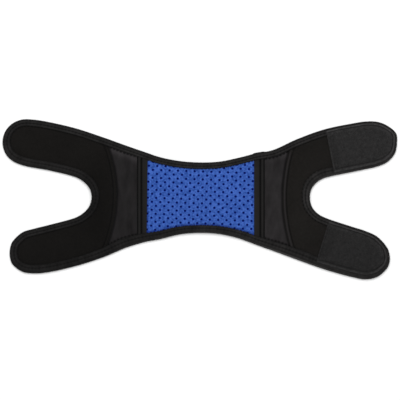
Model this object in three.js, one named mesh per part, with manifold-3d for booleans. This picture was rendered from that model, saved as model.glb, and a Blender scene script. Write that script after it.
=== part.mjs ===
// Knee support with a patella opening, laid out open and flat with its inner face up.
// Sizes are in millimetres. +X runs along the support to the right, +Y across it, +Z up.
// The origin is under the middle of the support, on the surface that it lies on.
//
// The support is flat-sewn from sheets. In the middle is a pierced blue panel with a black cloth behind
// it. On either side come a smooth knit panel and a C-shaped foam wing, whose two arms leave a notch
// between them. One folded tape binds the whole edge, and the right arms carry the hook pads.

import * as THREE from 'three';
import { mergeGeometries, mergeVertices } from 'three/addons/utils/BufferGeometryUtils.js';
import Module from 'manifold-3d';

const wasm = await Module();
wasm.setup();

// The whole support
const LENGTH = 493.2;
const WIDTH = 200.4;
const CLEARANCE = 0.3; // left between pieces that are sewn face to face

// Sheets
const WING_THICKNESS = 3.0;
const WING_SWELL = 4.0; // how far in from a sewn rim a wing reaches its full thickness
const WING_RIM = 1.0; // width of a wing's thin rim along the curved seam
const KNIT_THICKNESS = 1.8; // the middle panels, and the wings where they are sewn
const BACKING_THICKNESS = 1.0;

// Pierced panel, measured to the seams that join it to the knit panels
const PANEL_WIDTH = 148.1;
const PANEL_CENTRE = 2.1; // to the right of the middle
const HOLE_DIAMETER = 2.2;
const HOLE_SIDES = 8;
const HOLE_PITCH = 10.43; // along a row
const HOLE_ROW_STEP = 9.96; // from row to row: every second row of the cloth is cut here
const HOLE_MARGIN = 1.9; // from a hole's middle to the binding or the seam tape
const HOLE_TURN = -1.88; // degrees that the rows turn on the support
const FIRST_HOLE_ALONG = -4.35; // from the panel's middle to the hole that the rows start from
const FIRST_HOLE_ACROSS = -0.23;

// Seam tapes
const SEAM_TAPE_WIDTH = 10.6;
const SEAM_TAPE_THICKNESS = 1.0;
const SEAM_TAPE_BEVEL = 1.0;

// Folded tape round the edge
const BINDING_TAPE = 1.0; // thickness
const BINDING_REACH = 9.5; // how far in it covers the sheets
const LAP_AT = 75.0; // where its end laps over its start, on the upper edge
const LAP_LENGTH = 17.0;
const LAP_STEP = 0.8;

// Hook pads
const HOOK_PAD_THICKNESS = 1.2; // above the binding
const HOOK_PAD_INSET = 5.0; // from the support's edge to the pad's
const HOOK_PAD_BEVEL = 1.5;

// How high the support stands off the surface where it rises most
const DRAPE = 4.5;

// Where the pads end, as distances from the middle of the support, on the side of the outer edge and of
// the notch.
const HOOK_PAD_ENDS = {
  upper: { outer: 160.9, notch: 164.7 },
  lower: { outer: 150.9, notch: 157.0 },
};

// Where the curved seams between wing and knit panel run under the upper and the lower binding, as
// distances from the middle, and how far they bulge back towards the middle.
const CURVED_SEAMS = {
  left: { top: 116.2, bottom: 114.7, bulge: 13.2 },
  right: { top: 111.9, bottom: 116.6, bulge: 9.6 },
};

// The outline. along is a share of half the length, the other columns are shares of half the width.
// edges: heights of the outer edges and of the notch, from the middle out to the arms.
// upperTip, lowerTip: the arms' round ends, from the outer edge to the notch.
// root: the closed end of the notch, from its upper to its lower edge.
const OUTLINE = {
  left: {
    edges: [
      { along: 0.10, top: 0.475, bottom: -0.439 },
      { along: 0.20, top: 0.523, bottom: -0.498 },
      { along: 0.28, top: 0.589, bottom: -0.536 },
      { along: 0.37, top: 0.666, bottom: -0.602 },
      { along: 0.49, top: 0.772, bottom: -0.725 },
      { along: 0.63, top: 0.885, notchTop: 0.275, notchBottom: -0.230, bottom: -0.835 },
      { along: 0.77, top: 0.965, notchTop: 0.362, notchBottom: -0.325, bottom: -0.912 },
      { along: 0.84, top: 0.992, notchTop: 0.391, notchBottom: -0.368, bottom: -0.926 },
      { along: 0.90, top: 0.994, notchTop: 0.424, notchBottom: -0.415, bottom: -0.904 },
      { along: 0.95, top: 0.944, notchTop: 0.478, notchBottom: -0.532, bottom: -0.811 },
    ],
    upperTip: [
      { along: 0.985, across: 0.850 },
      { along: 1.000, across: 0.710 },
      { along: 0.985, across: 0.568 },
    ],
    lowerTip: [
      { along: 0.960, across: -0.752 },
      { along: 0.964, across: -0.676 },
      { along: 0.960, across: -0.595 },
    ],
    root: [
      { along: 0.600, across: 0.237 },
      { along: 0.573, across: 0.182 },
      { along: 0.555, across: 0.115 },
      { along: 0.548, across: 0.025 },
      { along: 0.555, across: -0.062 },
      { along: 0.573, across: -0.133 },
      { along: 0.600, across: -0.190 },
    ],
  },
  right: {
    edges: [
      { along: 0.10, top: 0.469, bottom: -0.435 },
      { along: 0.20, top: 0.519, bottom: -0.491 },
      { along: 0.28, top: 0.569, bottom: -0.564 },
      { along: 0.37, top: 0.613, bottom: -0.643 },
      { along: 0.49, top: 0.746, bottom: -0.752 },
      { along: 0.63, top: 0.870, notchTop: 0.262, notchBottom: -0.225, bottom: -0.874 },
      { along: 0.77, top: 0.943, notchTop: 0.338, notchBottom: -0.342, bottom: -0.970 },
      { along: 0.84, top: 0.969, notchTop: 0.374, notchBottom: -0.397, bottom: -1.000 },
      { along: 0.90, top: 0.965, notchTop: 0.408, notchBottom: -0.468, bottom: -0.969 },
      { along: 0.95, top: 0.918, notchTop: 0.463, notchBottom: -0.604, bottom: -0.860 },
    ],
    upperTip: [
      { along: 0.995, across: 0.822 },
      { along: 1.000, across: 0.710 },
      { along: 0.989, across: 0.571 },
    ],
    lowerTip: [
      { along: 0.961, across: -0.798 },
      { along: 0.964, across: -0.738 },
      { along: 0.960, across: -0.668 },
    ],
    root: [
      { along: 0.600, across: 0.222 },
      { along: 0.576, across: 0.165 },
      { along: 0.563, across: 0.105 },
      { along: 0.558, across: 0.027 },
      { along: 0.563, across: -0.061 },
      { along: 0.576, across: -0.124 },
      { along: 0.600, across: -0.183 },
    ],
  },
};
const MIDDLE = { along: 0, top: 0.458, bottom: -0.420 };

// Where the cloth rises off the surface. along and reach are shares of half the length, across is a share
// of half the width, rise is a share of DRAPE. The arms lie flat.
const RISES = [
  { along: -0.47, across: 0.04, reach: 0.22, rise: 0.9 },
  { along: -0.17, across: 0.36, reach: 0.34, rise: 0.8 },
  { along: 0.04, across: -0.10, reach: 0.40, rise: 0.3 },
  { along: 0.50, across: 0.04, reach: 0.18, rise: 0.3 },
];

// Section of the binding's upper leg from the fold to the cut edge. inset is a share of BINDING_REACH,
// height a share of the leg's top: a puffed roll, the groove of the stitches, then the flat leg.
const BINDING_SECTION = [
  { inset: 0.00, height: 0.45 },
  { inset: 0.07, height: 0.88 },
  { inset: 0.24, height: 1.08 },
  { inset: 0.43, height: 0.98 },
  { inset: 0.52, height: 0.82 },
  { inset: 0.61, height: 0.98 },
  { inset: 0.97, height: 1.00 },
  { inset: 1.00, height: 0.90 },
];

// Where the pieces have their sections, as shares of half the length: on both edges of the arms, and the
// pair of places that face each other where an arm leaves the web.
const ARM_STATIONS = [0.95, 0.925, 0.89, 0.84, 0.77, 0.70, 0.63];
const ARM_FOOT = 0.56;
const PANEL_COLUMNS = 6;
const KNIT_COLUMNS = 3;
const COLUMN_STEPS = 6;
const PAD_STEPS = 5;

// Sizes that follow from the ones above
const halfLength = LENGTH / 2;
const halfWidth = WIDTH / 2;
const knitHalf = KNIT_THICKNESS / 2;
const wingHalf = WING_THICKNESS / 2;
const legUnderside = knitHalf + CLEARANCE;
const legTop = legUnderside + BINDING_TAPE;
const sheetInset = BINDING_TAPE + CLEARANCE;
const openInset = BINDING_REACH + CLEARANCE;
const swellInset = openInset + WING_SWELL;
const joints = {
  left: PANEL_CENTRE - PANEL_WIDTH / 2,
  right: PANEL_CENTRE + PANEL_WIDTH / 2,
};
const sides = { left: -1, right: 1 };

// The outline as one closed smooth curve, anticlockwise seen from above. Each stretch of it is kept by
// name, with the numbers of its first and last knot.
const knots = [];
const stretches = {};

function addStretch(name, points) {
  stretches[name] = { first: knots.length, last: knots.length + points.length - 1 };
  knots.push(...points);
}

const knot = (side, along, across) =>
  new THREE.Vector3(sides[side] * along * halfLength, across * halfWidth, 0);
const edgeKnots = (side, column) =>
  OUTLINE[side].edges
    .filter((row) => row[column] !== undefined)
    .map((row) => knot(side, row.along, row[column]));
const endKnots = (side, end) => OUTLINE[side][end].map((row) => knot(side, row.along, row.across));
const middleKnot = (column) => knot('right', MIDDLE.along, MIDDLE[column]);

addStretch('left lowerTip', endKnots('left', 'lowerTip').reverse());
addStretch('bottom', [
  ...edgeKnots('left', 'bottom').reverse(),
  middleKnot('bottom'),
  ...edgeKnots('right', 'bottom'),
]);
addStretch('right lowerTip', endKnots('right', 'lowerTip'));
addStretch('right notchBottom', edgeKnots('right', 'notchBottom').reverse());
addStretch('right root', endKnots('right', 'root').reverse());
addStretch('right notchTop', edgeKnots('right', 'notchTop'));
addStretch('right upperTip', endKnots('right', 'upperTip').reverse());
addStretch('top', [
  ...edgeKnots('right', 'top').reverse(),
  middleKnot('top'),
  ...edgeKnots('left', 'top'),
]);
addStretch('left upperTip', endKnots('left', 'upperTip'));
addStretch('left notchTop', edgeKnots('left', 'notchTop').reverse());
addStretch('left root', endKnots('left', 'root'));
addStretch('left notchBottom', edgeKnots('left', 'notchBottom'));

const outline = new THREE.CatmullRomCurve3(knots, true, 'centripetal');

// A place on the outline, by knot number with fractions between knots. at(inset) is the point that lies
// that far inside the edge.
function station(number) {
  const share = number / knots.length;
  const edge = outline.getPoint(share);
  const tangent = outline.getTangent(share);
  const inward = new THREE.Vector2(-tangent.y, tangent.x).normalize();
  const at = (inset) => new THREE.Vector2(edge.x, edge.y).addScaledVector(inward, inset);
  return { number, x: edge.x, y: edge.y, at };
}

// The place on a stretch of the outline whose point at the given inset lies at x, found by halving.
function crossing(stretch, x, inset = 0) {
  let { first: low, last: high } = stretches[stretch];
  const rising = knots[high].x > knots[low].x;
  for (let step = 0; step < 40; step += 1) {
    const middle = (low + high) / 2;
    const before = station(middle).at(inset).x < x;
    if (before === rising) low = middle;
    else high = middle;
  }
  return station((low + high) / 2);
}

// Height of the cloth above the surface, without a crease and flat beyond each rise's reach.
function drape(x, y) {
  let height = 0;
  for (const rise of RISES) {
    const away = Math.hypot(x - rise.along * halfLength, y - rise.across * halfWidth);
    const share = Math.min(away / (rise.reach * halfLength), 1);
    height += rise.rise * DRAPE * (1 - share * share) ** 2;
  }
  return height;
}

// A closed geometry from corner points and triangles, which are turned to face out.
function closedGeometry(points, triangles) {
  let volume = 0;
  for (const [a, b, c] of triangles) {
    volume += points[a].dot(new THREE.Vector3().crossVectors(points[b], points[c]));
  }
  const turned = volume < 0 ? triangles.map(([a, b, c]) => [a, c, b]) : triangles;
  const geometry = new THREE.BufferGeometry().setFromPoints(points);
  geometry.setIndex(turned.flat());
  const merged = mergeVertices(geometry, 1e-4);
  const order = merged.getIndex().array;
  const kept = [];
  for (let i = 0; i < order.length; i += 3) {
    const [a, b, c] = [order[i], order[i + 1], order[i + 2]];
    if (a !== b && b !== c && c !== a) kept.push(a, b, c);
  }
  merged.setIndex(kept);
  merged.computeVertexNormals();
  return merged;
}

// A draped sheet from rows of cells { point, top, bottom }, with heights from the middle of the cloth.
// A row that is folded runs out to the tip of an arm and back along itself, so it needs no wall.
function sheet(rows, folded = { first: false, last: false }) {
  const points = [];
  const width = rows[0].length;
  for (const height of ['top', 'bottom']) {
    for (const cell of rows.flat()) {
      const z = drape(cell.point.x, cell.point.y) + cell[height];
      points.push(new THREE.Vector3(cell.point.x, cell.point.y, z));
    }
  }
  const under = rows.length * width;
  const triangles = [];
  const quad = (a, b, c, d) => triangles.push([a, b, c], [a, c, d]);
  for (let i = 0; i + 1 < rows.length; i += 1) {
    for (let j = 0; j + 1 < width; j += 1) {
      const [a, b] = [i * width + j, i * width + j + 1];
      const [c, d] = [b + width, a + width];
      quad(a, b, c, d);
      triangles.push([under + a, under + c, under + b], [under + a, under + d, under + c]);
    }
  }
  const wall = (from, to) => quad(to, from, under + from, under + to);
  for (let i = 0; i + 1 < rows.length; i += 1) {
    wall((i + 1) * width, i * width);
    wall((i + 1) * width - 1, (i + 2) * width - 1);
  }
  const lastRow = (rows.length - 1) * width;
  for (let j = 0; j + 1 < width; j += 1) {
    if (!folded.first) wall(j, j + 1);
    if (!folded.last) wall(lastRow + j + 1, lastRow + j);
  }
  return closedGeometry(points, triangles);
}

const flatCell = (half) => (point) => ({ point, top: half, bottom: -half });

// Points down a column of the middle panels, between two facing places on the upper and lower edge: from
// edge to edge, or only the open part inside the binding. A curved column bulges along X.
function column(top, bottom, { bulge = 0, shift = 0, open = false } = {}) {
  const points = [];
  const upper = top.at(openInset);
  const lower = bottom.at(openInset);
  for (let step = 0; step <= COLUMN_STEPS; step += 1) {
    const share = step / COLUMN_STEPS;
    const point = upper.clone().lerp(lower, share);
    point.x += bulge * 4 * share * (1 - share);
    points.push(point);
  }
  if (!open) {
    points.unshift(top.at(sheetInset));
    points.push(bottom.at(sheetInset));
  }
  for (const point of points) point.x += shift;
  return points;
}

// Facing places on the upper and the lower edge, for a column that leaves the binding at the given x.
const facing = (topX, bottomX) => ({
  top: crossing('top', topX, openInset),
  bottom: crossing('bottom', bottomX, openInset),
});
const between = (from, to, share) => from + (to - from) * share;

const panelFacings = [];
for (let i = 0; i <= PANEL_COLUMNS; i += 1) {
  const x = between(joints.left, joints.right, i / PANEL_COLUMNS);
  panelFacings.push(facing(x, x));
}

// From the pierced panel's seam out to the curved seam.
function knitFacings(side) {
  const seam = CURVED_SEAMS[side];
  const facings = [];
  for (let i = 0; i <= KNIT_COLUMNS; i += 1) {
    const share = i / KNIT_COLUMNS;
    const topX = between(joints[side], sides[side] * seam.top, share);
    const bottomX = between(joints[side], sides[side] * seam.bottom, share);
    facings.push({ ...facing(topX, bottomX), share });
  }
  return facings;
}

// The places on the round end of an arm, in pairs from the tip: outer edge side and notch side.
function tipPairs(side, level) {
  const { first, last } = stretches[`${side} ${level}Tip`];
  const tip = (first + last) / 2;
  const reach = (last - first) / 2;
  // Anticlockwise, the upper left and the lower right end run from the outer edge to the notch.
  const outerWay = (side === 'left') === (level === 'upper') ? -1 : 1;
  const pairs = [];
  for (const step of [0, 0.5, 1]) {
    const away = outerWay * step * reach;
    pairs.push({ outer: station(tip + away), notch: station(tip - away) });
  }
  return pairs;
}

const outerEdge = { upper: 'top', lower: 'bottom' };
const notchEdge = { upper: 'notchTop', lower: 'notchBottom' };

function armPairs(side, level) {
  return ARM_STATIONS.map((share) => {
    const x = sides[side] * share * halfLength;
    return {
      outer: crossing(outerEdge[level], x),
      notch: crossing(`${side} ${notchEdge[level]}`, x),
    };
  });
}

// The places round the closed end of a notch, from its upper to its lower edge.
function rootPlaces(side) {
  const { first, last } = stretches[`${side} root`];
  const way = side === 'left' ? 1 : -1;
  const middle = (first + last) / 2;
  return [-3, -2, -1, -0.5, 0, 0.5, 1, 2, 3].map((step) => station(middle + way * step));
}

const footPlaces = (side) => ({
  upper: crossing('top', sides[side] * ARM_FOOT * halfLength),
  lower: crossing('bottom', sides[side] * ARM_FOOT * halfLength),
});

// A C-shaped wing. Its rows run across it, from the notch to the outer edge or the curved seam, and
// follow one another from the tip of the upper arm round to the tip of the lower arm.
function wing(side) {
  const outward = sides[side];
  const seam = CURVED_SEAMS[side];
  const corner = facing(outward * seam.top, outward * seam.bottom);
  const line = column(corner.top, corner.bottom, { bulge: -outward * seam.bulge });
  const root = rootPlaces(side);
  const foot = footPlaces(side);
  const insets = [sheetInset, openInset, swellInset];
  const halves = [knitHalf, knitHalf, wingHalf];
  const seamInsets = [CLEARANCE / 2, CLEARANCE / 2 + WING_RIM, CLEARANCE / 2 + WING_RIM + WING_SWELL];
  const fromEdge = (place) => insets.map((inset) => place.at(inset));
  const aside = (point, distance) => new THREE.Vector2(point.x + outward * distance, point.y);
  const fromSeam = (point) => seamInsets.map((inset) => aside(point, inset));
  const fromCorner = (place) => insets.map((inset, i) => aside(place.at(inset), seamInsets[i]));

  // notch and outer are three points each, from the edge inwards.
  const row = (notch, outer, middle = notch[2].clone().lerp(outer[2], 0.5)) => [
    ...notch.map((point, i) => flatCell(halves[i])(point)),
    flatCell(wingHalf)(middle),
    ...outer.map((point, i) => flatCell(halves[i])(point)).reverse(),
  ];
  const arm = (level) => {
    const [tip, ...round] = tipPairs(side, level);
    const points = fromEdge(tip.outer);
    return [
      row(points, points, tip.outer.at(swellInset + WING_SWELL)),
      ...[...round, ...armPairs(side, level)].map((pair) => row(fromEdge(pair.notch), fromEdge(pair.outer))),
    ];
  };
  // At a corner of the seam only the outermost point moves on, from the edge to the open cloth.
  const cornerRows = (place, notchPlace, seamPoint) => {
    const onEdge = row(fromEdge(notchPlace), fromCorner(place));
    const onSeam = [...onEdge.slice(0, -1), flatCell(knitHalf)(aside(seamPoint, seamInsets[0]))];
    return [onEdge, onSeam];
  };
  const lineEnd = line.length - 1;
  const rows = [
    ...arm('upper'),
    row(fromEdge(root[0]), fromEdge(foot.upper)),
    ...cornerRows(corner.top, root[1], line[1]),
    ...line.slice(2, lineEnd - 1).map((point, i) => row(fromEdge(root[i + 2]), fromSeam(point))),
    ...cornerRows(corner.bottom, root[7], line[lineEnd - 1]).reverse(),
    row(fromEdge(root[8]), fromEdge(foot.lower)),
    ...arm('lower').reverse(),
  ];
  return sheet(rows, { first: true, last: true });
}

// A smooth knit panel between the pierced panel and the curved seam.
function knitPanel(side) {
  const outward = sides[side];
  const rows = knitFacings(side).map(({ top, bottom, share }) =>
    column(top, bottom, {
      bulge: -outward * CURVED_SEAMS[side].bulge * share,
      shift: outward * CLEARANCE * (0.5 - share),
    }).map(flatCell(knitHalf)),
  );
  return sheet(rows);
}

// Heights of the open cloth's upper and lower border at a given x, between two columns of the panel.
function openBorder(x) {
  const share = ((x - joints.left) / PANEL_WIDTH) * PANEL_COLUMNS;
  const i = Math.min(Math.max(Math.floor(share), 0), PANEL_COLUMNS - 1);
  const height = (edge) =>
    between(panelFacings[i][edge].at(openInset).y, panelFacings[i + 1][edge].at(openInset).y, share - i);
  return { top: height('top'), bottom: height('bottom') };
}

// Middles of the holes: straight rows, turned a little on the support, wherever a whole hole fits.
function holeMiddles() {
  const middles = [];
  const turn = THREE.MathUtils.degToRad(HOLE_TURN);
  const first = new THREE.Vector2(PANEL_CENTRE + FIRST_HOLE_ALONG, FIRST_HOLE_ACROSS);
  const reach = PANEL_WIDTH / 2 - SEAM_TAPE_WIDTH / 2 - HOLE_MARGIN;
  const across = Math.ceil(halfWidth / HOLE_ROW_STEP);
  const along = Math.ceil(PANEL_WIDTH / HOLE_PITCH);
  for (let j = -across; j <= across; j += 1) {
    for (let i = -along; i <= along; i += 1) {
      const step = new THREE.Vector2(i * HOLE_PITCH, j * HOLE_ROW_STEP);
      const middle = step.add(first).rotateAround(first, turn);
      const border = openBorder(middle.x);
      const inside = middle.y < border.top - HOLE_MARGIN && middle.y > border.bottom + HOLE_MARGIN;
      if (Math.abs(middle.x - PANEL_CENTRE) < reach && inside) middles.push(middle);
    }
  }
  return middles;
}

// A solid that can be cut, from a closed geometry whose shared corners are merged.
function toSolid(geometry) {
  const bare = geometry.clone();
  bare.deleteAttribute('normal');
  if (bare.getAttribute('uv')) bare.deleteAttribute('uv');
  const merged = mergeVertices(bare, 1e-4);
  const vertProperties = new Float32Array(merged.getAttribute('position').array);
  const triVerts = new Uint32Array(merged.getIndex().array);
  return new wasm.Manifold(new wasm.Mesh({ numProp: 3, vertProperties, triVerts }));
}

function toGeometry(solid) {
  const mesh = solid.getMesh();
  const geometry = new THREE.BufferGeometry();
  geometry.setAttribute('position', new THREE.BufferAttribute(mesh.vertProperties, 3));
  geometry.setIndex(new THREE.BufferAttribute(mesh.triVerts, 1));
  geometry.computeVertexNormals();
  return geometry;
}

// The blue panel, cut through at every hole.
function piercedPanel() {
  const rows = panelFacings.map(({ top, bottom }, i) => {
    const narrower = { 0: 1, [PANEL_COLUMNS]: -1 }[i] ?? 0;
    return column(top, bottom, { shift: (narrower * CLEARANCE) / 2 }).map(flatCell(knitHalf));
  });
  const pinLength = 4 * (DRAPE + KNIT_THICKNESS);
  const pins = holeMiddles().map((middle) => {
    const pin = new THREE.CylinderGeometry(HOLE_DIAMETER / 2, HOLE_DIAMETER / 2, pinLength, HOLE_SIDES);
    return pin.rotateX(Math.PI / 2).translate(middle.x, middle.y, 0);
  });
  return toGeometry(toSolid(sheet(rows)).subtract(toSolid(mergeGeometries(pins))));
}

// The black cloth behind the holes. It fills the open field inside the binding and ends under the outer
// edges of the seam tapes.
function backing() {
  const overhang = SEAM_TAPE_WIDTH / 2;
  const facings = [
    facing(joints.left - overhang, joints.left - overhang),
    ...panelFacings,
    facing(joints.right + overhang, joints.right + overhang),
  ];
  const rows = facings.map(({ top, bottom }) =>
    column(top, bottom, { open: true }).map((point) => ({
      point,
      top: -legUnderside,
      bottom: -legUnderside - BACKING_THICKNESS,
    })),
  );
  return sheet(rows);
}

// A tape with bevelled edges over the seam beside the pierced panel, cut off short of the binding.
function seamTape(side) {
  const { top, bottom } = panelFacings[side === 'left' ? 0 : PANEL_COLUMNS];
  const half = SEAM_TAPE_WIDTH / 2;
  const full = legUnderside + SEAM_TAPE_THICKNESS;
  const low = legUnderside + SEAM_TAPE_THICKNESS / 2;
  const edges = [
    { shift: -half, height: low },
    { shift: -half + SEAM_TAPE_BEVEL, height: full },
    { shift: half - SEAM_TAPE_BEVEL, height: full },
    { shift: half, height: low },
  ];
  // The ends follow the slope of the binding.
  const slope = (place) => {
    const along = place.at(1).sub(place.at(0));
    return -along.x / along.y;
  };
  const rows = edges.map(({ shift, height }) => {
    const points = column(top, bottom, { open: true, shift });
    points[0].y += slope(top) * shift - CLEARANCE;
    points[COLUMN_STEPS].y += slope(bottom) * shift + CLEARANCE;
    return points.map((point) => ({ point, top: height, bottom: legUnderside }));
  });
  return sheet(rows);
}

// A pad of hooks on a right arm. It lies over the inner half of the binding and over the wing.
function hookPad(level) {
  const ends = HOOK_PAD_ENDS[level];
  const overBinding = legTop + CLEARANCE;
  const overWing = wingHalf + CLEARANCE;
  const full = overBinding + HOOK_PAD_THICKNESS;
  const rings = [
    { inset: HOOK_PAD_INSET, top: full - HOOK_PAD_THICKNESS / 2, bottom: overBinding },
    { inset: HOOK_PAD_INSET + HOOK_PAD_BEVEL, top: full, bottom: overBinding },
    { inset: openInset, top: full, bottom: overBinding },
    { inset: swellInset, top: full, bottom: overWing },
  ];
  const cells = (place) =>
    rings.map(({ inset, top, bottom }) => ({ point: place.at(inset), top, bottom }));
  const row = (notch, outer, middle) => [
    ...cells(notch),
    { point: middle, top: full, bottom: overWing },
    ...cells(outer).reverse(),
  ];
  const halfway = (notch, outer) => notch.at(swellInset).lerp(outer.at(swellInset), 0.5);
  const [tip, ...round] = tipPairs('right', level);
  const pairs = [...round];
  const start = ARM_STATIONS[0] * halfLength;
  for (let step = 0; step <= PAD_STEPS; step += 1) {
    const share = step / PAD_STEPS;
    pairs.push({
      outer: crossing(outerEdge[level], between(start, ends.outer, share), HOOK_PAD_INSET),
      notch: crossing(`right ${notchEdge[level]}`, between(start, ends.notch, share), HOOK_PAD_INSET),
    });
  }
  const rows = [
    row(tip.outer, tip.outer, tip.outer.at(swellInset + WING_SWELL)),
    ...pairs.map(({ notch, outer }) => row(notch, outer, halfway(notch, outer))),
  ];
  return sheet(rows, { first: true, last: false });
}

// Every place where the binding has a section, in order round the outline. The lap has a section on
// either side of each of its two ends.
function bindingPlaces() {
  const places = panelFacings.flatMap(({ top, bottom }) => [top, bottom]);
  for (const side of ['left', 'right']) {
    places.push(...knitFacings(side).slice(1).flatMap(({ top, bottom }) => [top, bottom]));
    places.push(...Object.values(footPlaces(side)), ...rootPlaces(side));
    for (const level of ['upper', 'lower']) {
      const [tip, ...round] = tipPairs(side, level);
      places.push(tip.outer);
      places.push(...[...round, ...armPairs(side, level)].flatMap(({ outer, notch }) => [outer, notch]));
    }
  }
  const lapPlaces = [];
  for (const way of [-1, 1]) {
    const end = LAP_AT + (way * LAP_LENGTH) / 2;
    lapPlaces.push(crossing('top', end), crossing('top', end + way * LAP_STEP));
  }
  places.push(...lapPlaces);
  // Anticlockwise, the top edge runs from right to left.
  const from = lapPlaces[2].number;
  const to = lapPlaces[0].number;
  for (const place of places) place.lapped = place.number >= from && place.number <= to;
  return places.sort((a, b) => a.number - b.number);
}

// The folded tape round the whole edge, as one ring.
function binding() {
  const places = bindingPlaces();
  const upper = BINDING_SECTION.map(({ inset, height }) => ({
    inset: inset * BINDING_REACH,
    height: height * legTop,
    outside: true,
  }));
  const channel = [
    { inset: BINDING_REACH, height: legUnderside },
    { inset: BINDING_TAPE, height: legUnderside },
    { inset: BINDING_TAPE, height: -legUnderside },
    { inset: BINDING_REACH, height: -legUnderside },
  ];
  const lower = [
    { inset: BINDING_REACH, height: -legTop },
    { inset: upper[2].inset, height: -legTop },
    { inset: upper[1].inset, height: -upper[1].height },
    { inset: upper[0].inset, height: -upper[0].height },
  ];
  const section = [...upper, ...channel, ...lower];
  const points = places.flatMap((place) =>
    section.map(({ inset, height, outside }) => {
      const step = outside && place.lapped ? LAP_STEP : 0;
      const point = place.at(inset < BINDING_TAPE ? inset - step : inset);
      return new THREE.Vector3(point.x, point.y, drape(point.x, point.y) + height + step);
    }),
  );
  const triangles = [];
  const count = section.length;
  for (let i = 0; i < places.length; i += 1) {
    const next = ((i + 1) % places.length) * count;
    for (let j = 0; j < count; j += 1) {
      const k = (j + 1) % count;
      const [a, b, c, d] = [i * count + j, i * count + k, next + k, next + j];
      triangles.push([a, b, c], [a, c, d]);
    }
  }
  return closedGeometry(points, triangles);
}

// Finishes
const finish = (color, roughness) => new THREE.MeshStandardMaterial({ color, roughness, metalness: 0 });
const foamFabric = finish('#1f1d1c', 0.95);
const smoothKnit = finish('#2a2829', 0.85);
const blueKnit = finish('#3557a6', 0.8);
const blackCloth = finish('#0b0b0c', 0.95);
const wovenTape = finish('#232122', 0.8);
const bindingTape = finish('#272525', 0.75);
const hooks = finish('#2b2b2b', 0.6);

const pieces = [
  ['wing_left', wing('left'), foamFabric],
  ['wing_right', wing('right'), foamFabric],
  ['elastic_panel_left', knitPanel('left'), smoothKnit],
  ['elastic_panel_right', knitPanel('right'), smoothKnit],
  ['perforated_panel', piercedPanel(), blueKnit],
  ['panel_backing', backing(), blackCloth],
  ['seam_tape_left', seamTape('left'), wovenTape],
  ['seam_tape_right', seamTape('right'), wovenTape],
  ['edge_binding', binding(), bindingTape],
  ['hook_pad_upper', hookPad('upper'), hooks],
  ['hook_pad_lower', hookPad('lower'), hooks],
];

const support = new THREE.Group();
for (const [name, geometry, material] of pieces) {
  const mesh = new THREE.Mesh(geometry, material.clone());
  mesh.name = name;
  support.add(mesh);
}

// The support rests on the surface, with its origin under the middle of its box.
const box = new THREE.Box3().setFromObject(support);
const centre = box.getCenter(new THREE.Vector3());
support.position.set(-centre.x, -centre.y, -box.min.z);

export default support;
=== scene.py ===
# %% [markdown]
# # A knee support, laid open
#
# The support lies flat on a pale floor with its inner face up, as when it is put away. Five sheets are
# sewn side by side: two C-shaped foam wings, two smooth knit panels and a pierced blue panel between
# them. One folded tape binds the whole edge, and the right arms carry pads of small hooks. The measured
# model gives the places and sizes. This script gives every piece its cloth, its seams and its thread.

# %% Load the frame
import math

import bmesh
import bpy
import numpy as np
from mathutils import Matrix, Vector
from mathutils.kdtree import KDTree


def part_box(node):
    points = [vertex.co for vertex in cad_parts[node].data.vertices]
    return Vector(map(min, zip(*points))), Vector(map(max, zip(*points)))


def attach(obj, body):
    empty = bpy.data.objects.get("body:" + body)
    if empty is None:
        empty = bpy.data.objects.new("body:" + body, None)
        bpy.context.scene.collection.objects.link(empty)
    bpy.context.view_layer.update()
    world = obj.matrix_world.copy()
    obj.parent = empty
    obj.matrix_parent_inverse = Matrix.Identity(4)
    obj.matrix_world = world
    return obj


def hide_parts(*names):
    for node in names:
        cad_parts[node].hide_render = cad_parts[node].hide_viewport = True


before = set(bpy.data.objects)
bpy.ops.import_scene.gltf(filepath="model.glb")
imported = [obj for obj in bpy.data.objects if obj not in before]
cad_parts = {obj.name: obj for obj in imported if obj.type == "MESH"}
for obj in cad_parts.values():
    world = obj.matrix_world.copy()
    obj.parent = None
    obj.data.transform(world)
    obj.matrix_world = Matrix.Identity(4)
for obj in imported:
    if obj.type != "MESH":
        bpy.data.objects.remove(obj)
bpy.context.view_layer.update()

MM = 0.001
print("nodes:", ", ".join(sorted(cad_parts)))

# %% [markdown]
# ## The outline
#
# Everything on a bound piece of cloth follows its edge, so the edge comes first. It could be drawn with a
# Bezier curve object, but the binding, the stitches and the sheets all ask the same question: where is
# the edge, and which way is inwards? A smooth curve through a short table of knots answers it for any
# place on the edge. A knot's number, with a fraction between knots, is the address of a place. The curve
# is a centripetal Catmull-Rom spline, the one kind that never loops between unevenly spaced knots.

# %% Tables of the outline
LENGTH = 493.2 * MM
WIDTH = 200.4 * MM
half_length = LENGTH / 2
half_width = WIDTH / 2
SIDES = {"left": -1, "right": 1}

# Share of half the length, then heights of the upper and the lower outer edge as shares of half the width.
OUTER_EDGES = {
    "left": [
        (0.10, 0.475, -0.439), (0.20, 0.523, -0.498), (0.28, 0.589, -0.536), (0.37, 0.666, -0.602),
        (0.49, 0.772, -0.725), (0.63, 0.885, -0.835), (0.77, 0.965, -0.912), (0.84, 0.992, -0.926),
        (0.90, 0.994, -0.904), (0.95, 0.944, -0.811),
    ],
    "right": [
        (0.10, 0.469, -0.435), (0.20, 0.519, -0.491), (0.28, 0.569, -0.564), (0.37, 0.613, -0.643),
        (0.49, 0.746, -0.752), (0.63, 0.870, -0.874), (0.77, 0.943, -0.970), (0.84, 0.969, -1.000),
        (0.90, 0.965, -0.969), (0.95, 0.918, -0.860),
    ],
}
MIDDLE = (0.0, 0.458, -0.420)
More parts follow.
